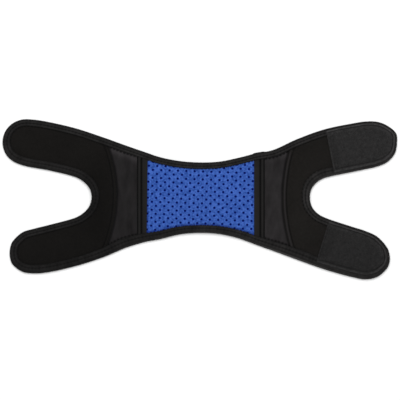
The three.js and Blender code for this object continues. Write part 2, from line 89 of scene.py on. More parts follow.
# The same for the upper and the lower edge of each notch.
NOTCH_EDGES = {
    "left": [
        (0.63, 0.275, -0.230), (0.77, 0.362, -0.325), (0.84, 0.391, -0.368), (0.90, 0.424, -0.415),
        (0.95, 0.478, -0.532),
    ],
    "right": [
        (0.63, 0.262, -0.225), (0.77, 0.338, -0.342), (0.84, 0.374, -0.397), (0.90, 0.408, -0.468),
        (0.95, 0.463, -0.604),
    ],
}
# Shares along and across. The tips run from the outer edge to the notch, the roots from above to below.
UPPER_TIPS = {
    "left": [(0.985, 0.850), (1.000, 0.710), (0.985, 0.568)],
    "right": [(0.995, 0.822), (1.000, 0.710), (0.989, 0.571)],
}
LOWER_TIPS = {
    "left": [(0.960, -0.752), (0.964, -0.676), (0.960, -0.595)],
    "right": [(0.961, -0.798), (0.964, -0.738), (0.960, -0.668)],
}
ROOTS = {
    "left": [
        (0.600, 0.237), (0.573, 0.182), (0.555, 0.115), (0.548, 0.025), (0.555, -0.062),
        (0.573, -0.133), (0.600, -0.190),
    ],
    "right": [
        (0.600, 0.222), (0.576, 0.165), (0.563, 0.105), (0.558, 0.027), (0.563, -0.061),
        (0.576, -0.124), (0.600, -0.183),
    ],
}

# %% Knots in order round the edge, anticlockwise from above
knots = []
stretches = {}


def add_stretch(name, points):
    """Adds knots to the edge and keeps the numbers of the first and the last one under a name."""
    stretches[name] = (len(knots), len(knots) + len(points) - 1)
    knots.extend(points)


def knots_of(table, side, column):
    """One column of a table, from the middle of the support outwards, in metres."""
    return [(SIDES[side] * row[0] * half_length, row[column] * half_width) for row in table[side]]


middle_top = (0.0, MIDDLE[1] * half_width)
middle_bottom = (0.0, MIDDLE[2] * half_width)
add_stretch("left lower tip", knots_of(LOWER_TIPS, "left", 1)[::-1])
add_stretch("bottom", [
    *knots_of(OUTER_EDGES, "left", 2)[::-1], middle_bottom, *knots_of(OUTER_EDGES, "right", 2),
])
add_stretch("right lower tip", knots_of(LOWER_TIPS, "right", 1))
add_stretch("right lower notch", knots_of(NOTCH_EDGES, "right", 2)[::-1])
add_stretch("right root", knots_of(ROOTS, "right", 1)[::-1])
add_stretch("right upper notch", knots_of(NOTCH_EDGES, "right", 1))
add_stretch("right upper tip", knots_of(UPPER_TIPS, "right", 1)[::-1])
add_stretch("top", [
    *knots_of(OUTER_EDGES, "right", 1)[::-1], middle_top, *knots_of(OUTER_EDGES, "left", 1),
])
add_stretch("left upper tip", knots_of(UPPER_TIPS, "left", 1))
add_stretch("left upper notch", knots_of(NOTCH_EDGES, "left", 1)[::-1])
add_stretch("left root", knots_of(ROOTS, "left", 1))
add_stretch("left lower notch", knots_of(NOTCH_EDGES, "left", 2))
knots = np.array(knots)
print(len(knots), "knots on the edge")

# %% Places on the edge
SAMPLES_PER_KNOT = 60
SAMPLES_PER_STRETCH = 1500
EDGE_SAMPLE = 0.5 * MM


def on_edge(numbers, inset=0.0):
    """Points at an inset from the edge, and the directions into the cloth, for an array of addresses."""
    numbers = np.atleast_1d(np.asarray(numbers, float)) % len(knots)
    start = np.floor(numbers).astype(int)
    share = (numbers - start)[:, None]
    before, here, there, after = (knots[(start + k) % len(knots)] for k in (-1, 0, 1, 2))
    pairs = ((before, here), (here, there), (there, after))
    d0, d1, d2 = (np.sqrt(np.linalg.norm(b - a, axis=1))[:, None] for a, b in pairs)
    leave = ((here - before) / d0 - (there - before) / (d0 + d1) + (there - here) / d1) * d1
    arrive = ((there - here) / d1 - (after - here) / (d1 + d2) + (after - there) / d2) * d1
    square = -3 * here + 3 * there - 2 * leave - arrive
    cube = 2 * here - 2 * there + leave + arrive
    points = here + leave * share + square * share**2 + cube * share**3
    tangents = leave + 2 * square * share + 3 * cube * share**2
    inward = np.column_stack((-tangents[:, 1], tangents[:, 0]))
    inward /= np.linalg.norm(inward, axis=1)[:, None]
    return points + inward * np.asarray(inset).reshape(-1, 1), inward


def run_of(points):
    """Distance from the first point of a line to each of its points, measured along the line."""
    steps = np.linalg.norm(np.diff(points, axis=0), axis=1)
    return np.concatenate(([0.0], np.cumsum(steps)))


def length_of(points):
    """Length of a line of points."""
    return run_of(points)[-1]


def evenly(first, last, step, inset=0.0):
    """Addresses from first to last whose points at that inset lie about a step apart."""
    fine = np.linspace(first, last, int(abs(last - first) * SAMPLES_PER_KNOT) + 2)
    run = run_of(on_edge(fine, inset)[0])
    count = max(round(run[-1] / step), 1)
    return np.interp(np.linspace(0, run[-1], count + 1), run, fine)


def crossing(stretch, x, inset=0.0):
    """Addresses on a stretch of the edge whose points at that inset lie at x."""
    fine = np.linspace(*stretches[stretch], SAMPLES_PER_STRETCH)
    along = on_edge(fine, inset)[0][:, 0]
    order = np.argsort(along)
    return np.interp(x, along[order], fine[order])


edge_numbers = evenly(0, len(knots), EDGE_SAMPLE)[:-1]
edge_points, edge_inward = on_edge(edge_numbers)
edge_length = length_of(on_edge(np.append(edge_numbers, len(knots)))[0])
print(f"the edge is {edge_length / MM:.0f} mm long")

# %% [markdown]
# ## How the cloth lies
#
# The real support isn't quite flat. Its middle rises a few millimetres off the floor where the panels
# pull on each other. A cloth simulation could find such a shape, but the measured model already has it,
# and every piece has to share it. So one smooth height field lifts each point of each piece. All pieces
# are laid out flat first, with heights from the middle of the cloth, and then settled on this field.

# %% Height of the cloth and its place in the frame
KNIT_HALF = 0.9 * MM
WING_HALF = 1.5 * MM
LEG_UNDERSIDE = 1.2 * MM
LEG_TOP = 2.2 * MM
PANEL_WIDTH = 148.1 * MM
PANEL_CENTRE = 2.1 * MM
DRAPE = 4.5 * MM
# Share along, share across, reach as a share of half the length, rise as a share of the drape.
RISES = [
    (-0.47, 0.04, 0.22, 0.9), (-0.17, 0.36, 0.34, 0.8), (0.04, -0.10, 0.40, 0.3), (0.50, 0.04, 0.18, 0.3),
]


def drape(flat):
    """How far the cloth rises off the floor at each of the flat points."""
    height = np.zeros(flat.shape[:-1])
    for along, across, reach, rise in RISES:
        away = np.hypot(flat[..., 0] - along * half_length, flat[..., 1] - across * half_width)
        share = np.minimum(away / (reach * half_length), 1)
        height += rise * DRAPE * (1 - share**2) ** 2
    return height


left_tape_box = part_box("seam_tape_left")
right_tape_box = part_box("seam_tape_right")
shift = np.array([
    (left_tape_box[0].x + right_tape_box[1].x) / 2 - PANEL_CENTRE,
    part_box("edge_binding")[0].y - edge_points[:, 1].min(),
])


def settle(flat, height):
    """Points on the object from flat points and their heights above the middle of the cloth."""
    places = np.empty(flat.shape[:-1] + (3,))
    places[..., :2] = flat + shift
    places[..., 2] = drape(flat) + LEG_TOP + height
    return places


print(f"the outline moves by {shift[0] / MM:.3f} and {shift[1] / MM:.3f} mm to fit the frame")

# %% [markdown]
# ## Distances and soft steps
#
# Cloth thins where a seam holds it and swells away from the seam. So each sheet's height depends on the
# distance to the nearest edge or seam, which a KD-tree finds quickly among closely spaced points.

# %% Helpers for relief
RIPPLE_WAVES = 7
# The waves of a ripple start anywhere in a turn, in radians, and their lengths are spread about the mean.
FULL_TURN = 6.28
WAVE_SPREAD = (0.6, 1.7)


def distance_to(line, flat):
    """Distance from each flat point to a closely sampled line, and the number of the nearest sample."""
    tree = KDTree(len(line))
    for i, point in enumerate(line):
        tree.insert((point[0], point[1], 0), i)
    tree.balance()
    found = [tree.find((x, y, 0)) for x, y in flat.reshape(-1, 2)]
    away = np.array([distance for _, _, distance in found])
    nearest = np.array([i for _, i, _ in found])
    return away.reshape(flat.shape[:-1]), nearest.reshape(flat.shape[:-1])


def inset_of(flat):
    """How far each flat point lies inside the edge, negative outside it."""
    away, nearest = distance_to(edge_points, flat)
    inside = ((flat - edge_points[nearest]) * edge_inward[nearest]).sum(-1)
    return np.where(inside < 0, -away, away)


def ramp(value, start, end):
    """A soft step from 0 at start to 1 at end."""
    share = np.clip((value - start) / (end - start), 0, 1)
    return share * share * (3 - 2 * share)


def ripple(flat, seed, wave, height):
    """Shallow waves without direction, as in cloth that has been handled."""
    dice = np.random.RandomState(seed)
    total = np.zeros(flat.shape[:-1])
    for _ in range(RIPPLE_WAVES):
        angle = dice.uniform(0, math.pi)
        pace = 2 * math.pi / (wave * dice.uniform(*WAVE_SPREAD))
        across = flat[..., 0] * math.cos(angle) + flat[..., 1] * math.sin(angle)
        total += np.sin(across * pace + dice.uniform(0, FULL_TURN))
    return total * height / RIPPLE_WAVES**0.5


def bump_at(value, centre, width):
    """A soft bump of height 1."""
    return np.exp(-(((value - centre) / width) ** 2))


def shade(away, amount, start, end):
    """A factor on a tone: darker by amount up to a distance of start, and as before from end on."""
    return 1 - amount * (1 - ramp(away, start, end))


def band(away, amount, centre, width):
    """A factor on a tone: lighter by amount at a distance of centre, or darker where it is negative."""
    return 1 + amount * bump_at(away, centre, width)


# %% [markdown]
# ## Light and dark in the cloth
#
# All this cloth is nearly black, so its seams are read from small changes of tone. Most of that tone is
# painted
# light: painted shade along threads, in grooves and in dimples, painted highlights on ridges, and painted
# light that is weaker on the left half than on the right. Each point of a sheet therefore carries a tone, a
# number near 1 that its material multiplies the colour by. It is kept with the mesh as an attribute, so it
# follows the piece without an image.
#
# The folded edge tape doesn't look equally wide all round either. Its fold leans, so that the tape shows
# less on edges that face up in the top view, and more on edges that face down, most of all where foam
# and knit meet.
#
# The tape is sewn on with one long stitch and one tack by turns: the stitches lie in a groove along its
# middle, the tacks catch its inner edge and dimple the cloth beside it.

# %% Tone and painted light by place, and how much of the edge tape shows
LEG_WIDTH = 9.5 * MM
MEAN_FOLD = 0.99
FOLD_LEAN = 0.10
BLEND_WIDTH = 50 * MM
RISE_SPAN = 80 * MM
WEB_ALONG = 132 * MM
WEB_REACH = (30 * MM, 45 * MM)
# Where more of the tape shows on edges that face down: place along, reach, share of its width.
WIDE_FOLDS = ((-95 * MM, 25 * MM, 0.18), (0.0, 50 * MM, -0.09), (120 * MM, 34 * MM, 0.28))
# Where less of it shows on edges that face up.
NARROW_FOLD = (0.0, 130 * MM, -0.05)
# Tone, its rise over RISE_SPAN across, and its change on the web round a notch's root: left, then right.
# The level is the cloth's own; the difference between left and right, the rise and the change on the web
# are painted light and painted shade.
WING_PLACES = ((0.86, 0.11, -0.35), (1.33, -0.05, 0.18))
KNIT_PLACES = ((0.81, 0.03, 0.0), (1.19, -0.20, 0.0))
TAPE_PLACES = ((0.78, 0.0, 0.0), (0.91, 0.0, 0.0))
BINDING_PLACES = ((0.76, 0.14, -0.36), (1.03, 0.06, 0.18))
PAD_PLACES = ((1.0, 0.0, 0.0), (1.24, 0.14, 0.0))


def tone_and_painted_light(flat, places):
    """Tone of a cloth by its place on the support: the cloth's own level, and painted light that differs
    between the left and the right half, changes from bottom to top, and shades or lights the web round a
    notch's root.
    """
    left, right = np.array(places)
    blend = (1 + np.tanh(flat[..., 0] / BLEND_WIDTH))[..., None] / 2
    tone, rise, web = np.moveaxis(left + (right - left) * blend, -1, 0)
    on_web = bump_at(abs(flat[..., 0]), WEB_ALONG, WEB_REACH[0]) * bump_at(flat[..., 1], 0, WEB_REACH[1])
    return tone + rise * flat[..., 1] / RISE_SPAN + web * on_web


def facings(inward):
    """How much an edge faces down and how much up in the top view, from its directions into the cloth."""
    return np.maximum(inward[..., 1], 0), np.maximum(-inward[..., 1], 0)


def leg_share(points, inward):
    """Width of the edge tape's upper leg at places on the edge, as a share of its cut width."""
    faces_down, faces_up = facings(inward)
    wide = sum(share * bump_at(points[..., 0], x, reach) for x, reach, share in WIDE_FOLDS)
    x, reach, share = NARROW_FOLD
    narrow = share * bump_at(points[..., 0], x, reach)
    return MEAN_FOLD + FOLD_LEAN * inward[..., 1] + faces_down * wide + faces_up * narrow


def past_leg(flat):
    """How far flat points lie past the edge tape's leg, and how much the edge there faces down and up."""
    away, nearest = distance_to(edge_points, flat)
    inward = edge_inward[nearest]
    return away - LEG_WIDTH * leg_share(edge_points[nearest], inward), *facings(inward)


# %% Stitches and tacks of the edge tape
STITCH_PITCH = 4.5 * MM
GROOVE_INSET = 5.8 * MM
# How far past the tape's leg a tack pulls the cloth down, and how much further on the knit panels.
TACK_REACH = 0.7 * MM
KNIT_TACK_REACH = 0.6 * MM
TACK_MARK = 1.25 * MM
KNIT_ALONG = 94 * MM
stitch_numbers = evenly(0, len(knots), STITCH_PITCH, GROOVE_INSET)
tack_numbers = (stitch_numbers[1:] + stitch_numbers[:-1]) / 2
tack_places, tack_inward = on_edge(tack_numbers)
tack_legs = LEG_WIDTH * leg_share(tack_places, tack_inward)
on_knit = bump_at(abs(tack_places[:, 0]), KNIT_ALONG, 16 * MM)
tack_ends = on_edge(tack_numbers, tack_legs + TACK_REACH + KNIT_TACK_REACH * on_knit)[0]
print(len(tack_numbers), "stitches round the edge, and as many tacks")


def tack_marks(flat):
    """How much the tacks at the tape's inner edge pull the cloth down at flat points, from 0 to 1."""
    away, _ = distance_to(tack_ends, flat)
    return bump_at(away, 0, TACK_MARK)


# %% [markdown]
# ## Making and dressing a piece
#
# Most pieces here are sheets. Each starts as a flat grid from `bmesh.ops.create_grid`, whose points are
# then moved to places worked out in rows and columns. A sheet gets its thickness by extruding the whole
# grid, which also makes the walls, so every piece is a closed shell as real cloth is.

# %% Helpers for meshes
MERGE_DISTANCE = 0.002 * MM


def mesh_of(bm, name):
    """A mesh made of a bmesh, which is freed."""
    mesh = bpy.data.meshes.new(name)
    bm.to_mesh(mesh)
    bm.free()
    return mesh


def parts_of(made, kind):
    """The points, or the edges, among the parts that an operator made."""
    return [part for part in made["geom"] if isinstance(part, kind)]


def grid_mesh(name, places, tones, cloth_size=None):
    """A mesh of quads whose points lie at places, rows x columns x 3, and carry tones, rows x columns."""
    rows, columns = places.shape[:2]
    bm = bmesh.new()
    bm.loops.layers.uv.new("cloth")
    bmesh.ops.create_grid(bm, x_segments=columns - 1, y_segments=rows - 1, size=0.5, calc_uvs=True)
    mesh = mesh_of(bm, name)
    spots = np.empty(len(mesh.vertices) * 3)
    mesh.vertices.foreach_get("co", spots)
    shares = spots.reshape(-1, 3)[:, :2] + 0.5
    column = np.rint(shares[:, 0] * (columns - 1)).astype(int)
    row = np.rint(shares[:, 1] * (rows - 1)).astype(int)
    mesh.vertices.foreach_set("co", places[row, column].ravel())
    mesh.attributes.new("tone", "FLOAT", "POINT").data.foreach_set("value", tones[row, column])
    if cloth_size:
        uvs = np.empty(len(mesh.loops) * 2)
        mesh.uv_layers["cloth"].data.foreach_get("uv", uvs)
        mesh.uv_layers["cloth"].data.foreach_set("uv", (uvs.reshape(-1, 2) * cloth_size).ravel())
    return mesh


def reworked(mesh, change=None):
    """Runs change on the mesh as a bmesh, merges what meets, and turns all faces outwards."""
    bm = bmesh.new()
    bm.from_mesh(mesh)
    if change:
        change(bm)
    bmesh.ops.remove_doubles(bm, verts=bm.verts[:], dist=MERGE_DISTANCE)
    bmesh.ops.recalc_face_normals(bm, faces=bm.faces[:])
    bm.to_mesh(mesh)
    bm.free()
    return mesh


def thicken(bm, underside):
    """Extrudes a whole sheet. The underside's height is a number, or a function of the flat places."""
    bmesh.ops.remove_doubles(bm, verts=bm.verts[:], dist=MERGE_DISTANCE)
    lower = parts_of(bmesh.ops.extrude_face_region(bm, geom=bm.faces[:]), bmesh.types.BMVert)
    flat = np.array([vert.co.xy for vert in lower]) - shift
    height = underside(flat) if callable(underside) else underside
    for vert, place in zip(lower, settle(flat, height)):
        vert.co = place


# %% Helpers for pieces


def add_piece(name, mesh, finish, stands_for=()):
    """Puts a finished mesh into the scene on the root body, with its finish, and hides the CAD nodes it
    stands for.
    """
    mesh.materials.clear()
    mesh.materials.append(finish)
    mesh.shade_smooth()
    piece = bpy.data.objects.new(name, mesh)
    bpy.context.scene.collection.objects.link(piece)
    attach(piece, "root")
    if stands_for:
        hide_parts(*stands_for)
    triangles = sum(len(polygon.vertices) - 2 for polygon in mesh.polygons)
    sides = sum(len(polygon.vertices) for polygon in mesh.polygons)
    print(f"{name}: {triangles} triangles, {abs(2 * len(mesh.edges) - sides)} open edges")
    return piece


def add_sheet(name, flat, top, underside, tones, finish, node):
    """A closed sheet from rows and columns of flat points, as a piece that stands for a CAD node."""
    mesh = grid_mesh(name, settle(flat, top), tones)
    reworked(mesh, lambda bm: thicken(bm, underside))
    return add_piece(name, mesh, finish, [node])


# %% [markdown]
# ## Finishes
#
# Each cloth is a Principled shader with its own small node tree. The patterns read Object coordinates,
# which are metres on this flat object, so a scale can be reckoned from a real thread or loop size. Black
# cloth looks grey as soon as its shine is too strong, so the specular level is low on all of them, and
# what light they do return comes from sheen, as on real brushed fibres.

# %% Helpers for node trees


def new_finish(name, roughness, specular, sheen=0.0):
    """A material with its shader's plain numbers set on the shader itself."""
    material = bpy.data.materials.new(name)
    material.use_nodes = True
    shader = material.node_tree.nodes["Principled BSDF"]
    shader.inputs["Roughness"].default_value = roughness
    shader.inputs["Specular IOR Level"].default_value = specular
    shader.inputs["Sheen Weight"].default_value = sheen
    return material, material.node_tree, shader


def add_node(tree, kind, inputs, **settings):
    """A node with its settings, its numbers and its links. A socket among the inputs is linked."""
    made = tree.nodes.new(kind)
    for key, value in settings.items():
        setattr(made, key, value)
    for key, value in inputs.items():
        if isinstance(value, bpy.types.NodeSocket):
            tree.links.new(value, made.inputs[key])
        else:
            made.inputs[key].default_value = value
    return made


def object_place(tree):
    """The Object coordinates of a material's piece."""
    return add_node(tree, "ShaderNodeTexCoord", {}).outputs["Object"]


def noise(tree, place, size, detail=3.0, roughness=0.55):
    """Noise whose blots are about that size."""
    inputs = {"Vector": place, "Scale": 1 / size, "Detail": detail, "Roughness": roughness}
    return add_node(tree, "ShaderNodeTexNoise", inputs).outputs["Fac"]


def ribs(tree, place, pitch, direction, wobble):
    """Parallel ribs that far apart. direction is the axis across them."""
    inputs = {"Vector": place, "Scale": 2 * math.pi / (20 * pitch), "Distortion": wobble, "Detail": 1.0}
    settings = {"wave_type": "BANDS", "bands_direction": direction}
    return add_node(tree, "ShaderNodeTexWave", inputs, **settings).outputs["Fac"]


def mixed_colour(tree, share, first, second):
    """A colour between two, by a share from 0 to 1."""
    made = add_node(tree, "ShaderNodeMix", {}, data_type="RGBA")
    tree.links.new(share, made.inputs["Factor"])
    for name, colour in (("A", first), ("B", second)):
        socket = next(s for s in made.inputs if s.name == name and s.type == "RGBA")
        if isinstance(colour, bpy.types.NodeSocket):
            tree.links.new(colour, socket)
        else:
            socket.default_value = (*colour, 1)
    return next(s for s in made.outputs if s.type == "RGBA")


def spread(tree, value, low, high):
    """A value with the range from low to high stretched to 0 to 1."""
    inputs = {"Value": value, "From Min": low, "From Max": high}
    return add_node(tree, "ShaderNodeMapRange", inputs).outputs["Result"]


def summed(tree, parts):
    """The sum of (value, weight) pairs."""
    total = None
    for value, weight in parts:
        inputs = {0: value, 1: weight, 2: total if total else 0.0}
        total = add_node(tree, "ShaderNodeMath", inputs, operation="MULTIPLY_ADD").outputs[0]
    return total


def tone_of(tree):
    """The tone that each point of the cloth carries."""
    return add_node(tree, "ShaderNodeAttribute", {}, attribute_name="tone").outputs["Fac"]


def toned(tree, shader, colour, painted_shade_colour=None):
    """Links the colour to the shader, made lighter or darker by the tone that each point carries, which is
    mostly painted light and shade.

    Where there is a painted shade colour, low tones turn to it; it is the painted shade deep in the blue
    panel's holes."""
    tone = tone_of(tree)
    scaled = add_node(tree, "ShaderNodeVectorMath", {0: colour, "Scale": tone}, operation="SCALE")
    made = scaled.outputs["Vector"]
    if painted_shade_colour:
        made = mixed_colour(tree, spread(tree, tone, 0.0, 0.8), painted_shade_colour, made)
    tree.links.new(made, shader.inputs["Base Color"])


def relief(tree, shader, height, depth, strength=1.0):
    """Bump of a real depth on the shader."""
    inputs = {"Height": height, "Distance": depth, "Strength": strength}
    tree.links.new(add_node(tree, "ShaderNodeBump", inputs).outputs["Normal"], shader.inputs["Normal"])


# %% Foam fabric with a brushed loop face


def foam_fabric():
    """Near-black loops, matted in small tufts and uneven, turning greyer under a strong painted highlight.
    """
    material, tree, shader = new_finish("foam_fabric", 0.95, 0.04, sheen=0.10)
    place = object_place(tree)
    loops = noise(tree, place, 0.7 * MM, detail=4.0, roughness=0.7)
    tufts = noise(tree, place, 3.2 * MM)
    cloud = noise(tree, place, 45 * MM, detail=2.0)
    share = spread(tree, summed(tree, [(loops, 0.5), (tufts, 0.25), (cloud, 0.25)]), 0.34, 0.66)
    colour = mixed_colour(tree, share, (0.0030, 0.0027, 0.0024), (0.0078, 0.0070, 0.0064))
    # Where the tone is high, on the painted highlight along the right welt, the colour evens out to a grey.
    painted_highlight = spread(tree, tone_of(tree), 1.7, 2.3)
    toned(tree, shader, mixed_colour(tree, painted_highlight, colour, (0.0057, 0.0052, 0.0054)))
    relief(tree, shader, summed(tree, [(loops, 0.7), (tufts, 0.3)]), 0.35 * MM, 0.7)
    return material


# %% Smooth stretch knit


def knit_cloth(name, dark, light, specular, sheen, blot, low, high, streak=1.0, painted_shade_colour=None):
    """Fine wales and courses with slow changes of shade, for a stretch knit of any colour.

    The pattern's values from low to high are stretched over the colours from dark to light, and a streak
    below 1 draws the changes of shade out along Y."""
    material, tree, shader = new_finish(name, 0.85, specular, sheen=sheen)
    place = object_place(tree)
    wales = ribs(tree, place, 0.9 * MM, "X", wobble=0.6)
    courses = ribs(tree, place, 0.7 * MM, "Y", wobble=0.6)
    fibres = noise(tree, place, 0.5 * MM, detail=3.0)
    stretched = add_node(tree, "ShaderNodeMapping", {"Vector": place, "Scale": (1, streak, 1)})
    cloud = noise(tree, stretched.outputs["Vector"], blot, detail=3.0)
    mixed = summed(tree, [(fibres, 0.25), (cloud, 0.65), (wales, 0.05), (courses, 0.05)])
    toned(tree, shader, mixed_colour(tree, spread(tree, mixed, low, high), dark, light), painted_shade_colour)
    relief(tree, shader, summed(tree, [(wales, 0.4), (courses, 0.4), (fibres, 0.2)]), 0.12 * MM, 0.6)
    return material


# %% Woven tapes


def ribbed_tape(name, dark, light, pitch, specular, sheen, on_map=False):
    """A woven tape whose ribs cross it, on Object coordinates or along its own cloth map."""
    material, tree, shader = new_finish(name, 0.8, specular, sheen=sheen)
    place = object_place(tree)
    if on_map:
        cloth = add_node(tree, "ShaderNodeUVMap", {}, uv_map="cloth").outputs["UV"]
        rows = ribs(tree, cloth, pitch, "X", wobble=0.3)
    else:
        rows = ribs(tree, place, pitch, "Y", wobble=0.3)
    fibres = noise(tree, place, 0.45 * MM, detail=3.0)
    cloud = noise(tree, place, 18 * MM, detail=2.0)
    share = spread(tree, summed(tree, [(rows, 0.25), (fibres, 0.35), (cloud, 0.4)]), 0.3, 0.7)
    toned(tree, shader, mixed_colour(tree, share, dark, light))
    relief(tree, shader, summed(tree, [(rows, 0.6), (fibres, 0.4)]), 0.15 * MM, 0.7)
    return material


# %% Backing cloth, thread and hook plastic


def grained(name, dark, light, size, depth, roughness, specular, blot=25 * MM, with_tone=False):
    """A plain finish with a fine irregular grain."""
    material, tree, shader = new_finish(name, roughness, specular)
    place = object_place(tree)
    grain = noise(tree, place, size, detail=3.0)
    cloud = noise(tree, place, blot, detail=2.0)
    share = spread(tree, summed(tree, [(grain, 0.6), (cloud, 0.4)]), 0.35, 0.65)
    colour = mixed_colour(tree, share, dark, light)
    if with_tone:
        toned(tree, shader, colour)
    else:
        tree.links.new(colour, shader.inputs["Base Color"])
    relief(tree, shader, grain, depth, 0.6)
    return material


# %% All finishes
loop_finish = foam_fabric()
grey_knit = knit_cloth(
    "smooth_knit", dark=(0.0080, 0.0073, 0.0076), light=(0.0172, 0.0158, 0.0165), specular=0.05,
    sheen=0.05, blot=8 * MM, low=0.33, high=0.67, streak=0.4)
# The blue knit turns to a deep blue painted shade colour where its tone is low, down in the holes.
blue_knit = knit_cloth(
    "blue_knit", dark=(0.0115, 0.0450, 0.218), light=(0.0455, 0.1120, 0.415), specular=0.07, sheen=0.03,
    blot=2.6 * MM, low=0.39, high=0.61, painted_shade_colour=(0.0001, 0.0120, 0.1900))
seam_finish = ribbed_tape(
    "seam_tape", dark=(0.0065, 0.0062, 0.0061), light=(0.0125, 0.0117, 0.0114), pitch=0.9 * MM,
    specular=0.06, sheen=0.05)
binding_finish = ribbed_tape(
    "binding_tape", dark=(0.0070, 0.0067, 0.0066), light=(0.0140, 0.0132, 0.0130), pitch=0.8 * MM,
    specular=0.06, sheen=0.06, on_map=True)
# The black cloth is painted bluish, as painted light bounced from the blue panel.
backing_finish = grained(
    "black_cloth", dark=(0.0003, 0.0014, 0.0080), light=(0.0009, 0.0032, 0.0180), size=0.6 * MM,
    depth=0.1 * MM, roughness=0.95, specular=0.01)
thread_finish = grained(
    "thread", dark=(0.0016, 0.0015, 0.0015), light=(0.0045, 0.0042, 0.0042), size=0.3 * MM,
    depth=0.05 * MM, roughness=0.6, specular=0.10)
hook_finish = grained(
    "hook_fastener", dark=(0.011, 0.011, 0.011), light=(0.021, 0.021, 0.021), size=0.5 * MM,
    depth=0.03 * MM, roughness=0.5, specular=0.08)
selvedge_finish = grained(
    "hook_base", dark=(0.0082, 0.0080, 0.0081), light=(0.0200, 0.0194, 0.0195), size=1.6 * MM,
    depth=0.08 * MM, roughness=0.8, specular=0.06, blot=4 * MM, with_tone=True)
print(len(bpy.data.materials), "materials")

# %% [markdown]
# ## Columns between the two long edges
#
# The knit panels, the backing and the seam tapes all run from the upper to the lower binding. Each can
# be laid out in columns: a column joins two facing places on the edges, and the one at the curved seam
# bulges towards the middle as the seam does. The measured model is laid out in the same way.

# %% Columns
SHEET_INSET = 1.3 * MM
OPEN_INSET = 9.8 * MM
HIDDEN_STEPS = 4
# Where each curved seam runs under the bindings, and how far it bulges to the middle.
CURVED_SEAMS = {"left": (114.3 * MM, 116.9 * MM, 11.9 * MM), "right": (111.3 * MM, 113.6 * MM, 9.0 * MM)}
joints = {side: PANEL_CENTRE + sign * PANEL_WIDTH / 2 for side, sign in SIDES.items()}


def column(top_x, bottom_x, shares, bulge=0.0, hidden_from=None):
    """Points down a column, at the given shares of its open part.

    With hidden_from, the column also runs on under both bindings, from that inset."""
    numbers = (crossing("top", top_x, OPEN_INSET), crossing("bottom", bottom_x, OPEN_INSET))
    upper, lower = (on_edge(number, OPEN_INSET)[0] for number in numbers)
    shares = np.asarray(shares)[:, None]
    points = upper + (lower - upper) * shares
    points[:, 0] += (bulge * 4 * shares * (1 - shares))[:, 0]
    if hidden_from:
        insets = np.linspace(hidden_from, OPEN_INSET, HIDDEN_STEPS, endpoint=False)
        above, below = (on_edge(number, insets)[0] for number in numbers)
        points = np.concatenate((above, points, below[::-1]))
    return points


def seam_line(side, shares):
    """Points down the open part of a curved seam."""
    top_x, bottom_x, bulge = CURVED_SEAMS[side]
    sign = SIDES[side]
    return column(sign * top_x, sign * bottom_x, shares, -sign * bulge)


# Samples of the seams run on under the bindings by this share.
SEAM_MARGIN = 0.08
sample_shares = np.linspace(-SEAM_MARGIN, 1 + SEAM_MARGIN, 400)
seam_samples = {side: seam_line(side, sample_shares) for side in SIDES}
seam_lengths = {side: length_of(seam_line(side, np.linspace(0, 1, 60))) for side in SIDES}
print("curved seams:", {side: f"{length / MM:.0f} mm" for side, length in seam_lengths.items()})

# %% [markdown]
# ## Smooth knit panels
#
# A stretch knit lies smooth and shows almost no thickness. It is caught on all four sides, so it dips at
# the curved seam and next to the binding, where the tacks pull it down in small dimples. The grid is
# fine enough for those dimples to be real relief, which a bump map couldn't show from the side.

# %% Knit panels
KNIT_COLUMNS = 44
KNIT_ROWS = 150
# Above 1, the columns crowd towards the curved seam.
KNIT_CROWDING = 1.6
SEAM_SLIT = 0.05 * MM
SEAM_SINK = 0.45 * MM
KNIT_PUFF = 0.30 * MM
KNIT_DIMPLE = 0.30 * MM
# Length and height of the ripples.
KNIT_RIPPLE = (38 * MM, 0.10 * MM)
# Shades beside the seam and the tape: amount, and the distances between which each fades.
KNIT_SEAM_SHADE = (0.72, 0.3 * MM, 3.4 * MM)
KNIT_TAPE_SHADE = (0.22, 0.2 * MM, 2.0 * MM)
KNIT_TACK_SHADE = 0.92
# Painted highlight past the tape's leg where the edge faces up: left, then right.
KNIT_EDGE_LIGHT = {"left": 1.05, "right": 0.35}


def knit_relief(flat, side, seed):
    """Height of a knit panel's face above the middle of the cloth, and its tone."""
    to_seam, _ = distance_to(seam_samples[side], flat)
    past, _, faces_up = past_leg(flat)
    marks = tack_marks(flat)
    sink = SEAM_SINK * (1 - ramp(to_seam, 0, 2.0 * MM))
    puff = KNIT_PUFF * faces_up * bump_at(past, 4.0 * MM, 3.5 * MM)
    height = KNIT_HALF - KNIT_DIMPLE * marks - sink + puff + ripple(flat, seed, *KNIT_RIPPLE)
    tone = tone_and_painted_light(flat, KNIT_PLACES) * shade(to_seam, *KNIT_SEAM_SHADE)
    tone *= shade(past, *KNIT_TAPE_SHADE) * (1 - KNIT_TACK_SHADE * marks)
    tone *= band(past, KNIT_EDGE_LIGHT[side] * faces_up, 3.0 * MM, 4.5 * MM)
    return height, tone


def knit_panel(side, seed):
    """A panel from the blue panel's joint out to the curved seam."""
    sign = SIDES[side]
    top_x, bottom_x, bulge = CURVED_SEAMS[side]
    rows = np.linspace(0, 1, KNIT_ROWS)
    columns = []
    for share in 1 - (1 - np.linspace(0, 1, KNIT_COLUMNS)) ** KNIT_CROWDING:
        top, bottom = (joints[side] + (sign * x - joints[side]) * share for x in (top_x, bottom_x))
        slit = (sign * SEAM_SLIT * (0.5 - share), 0)
        columns.append(column(top, bottom, rows, -sign * bulge * share, SHEET_INSET) + slit)
    flat = np.stack(columns, axis=1)
    height, tone = knit_relief(flat, side, seed)
    return add_sheet(
        f"knit_panel_{side}", flat, height, -KNIT_HALF, tone, grey_knit,
        f"elastic_panel_{side}")


knit_panels = {side: knit_panel(side, seed) for side, seed in (("left", 3), ("right", 4))}

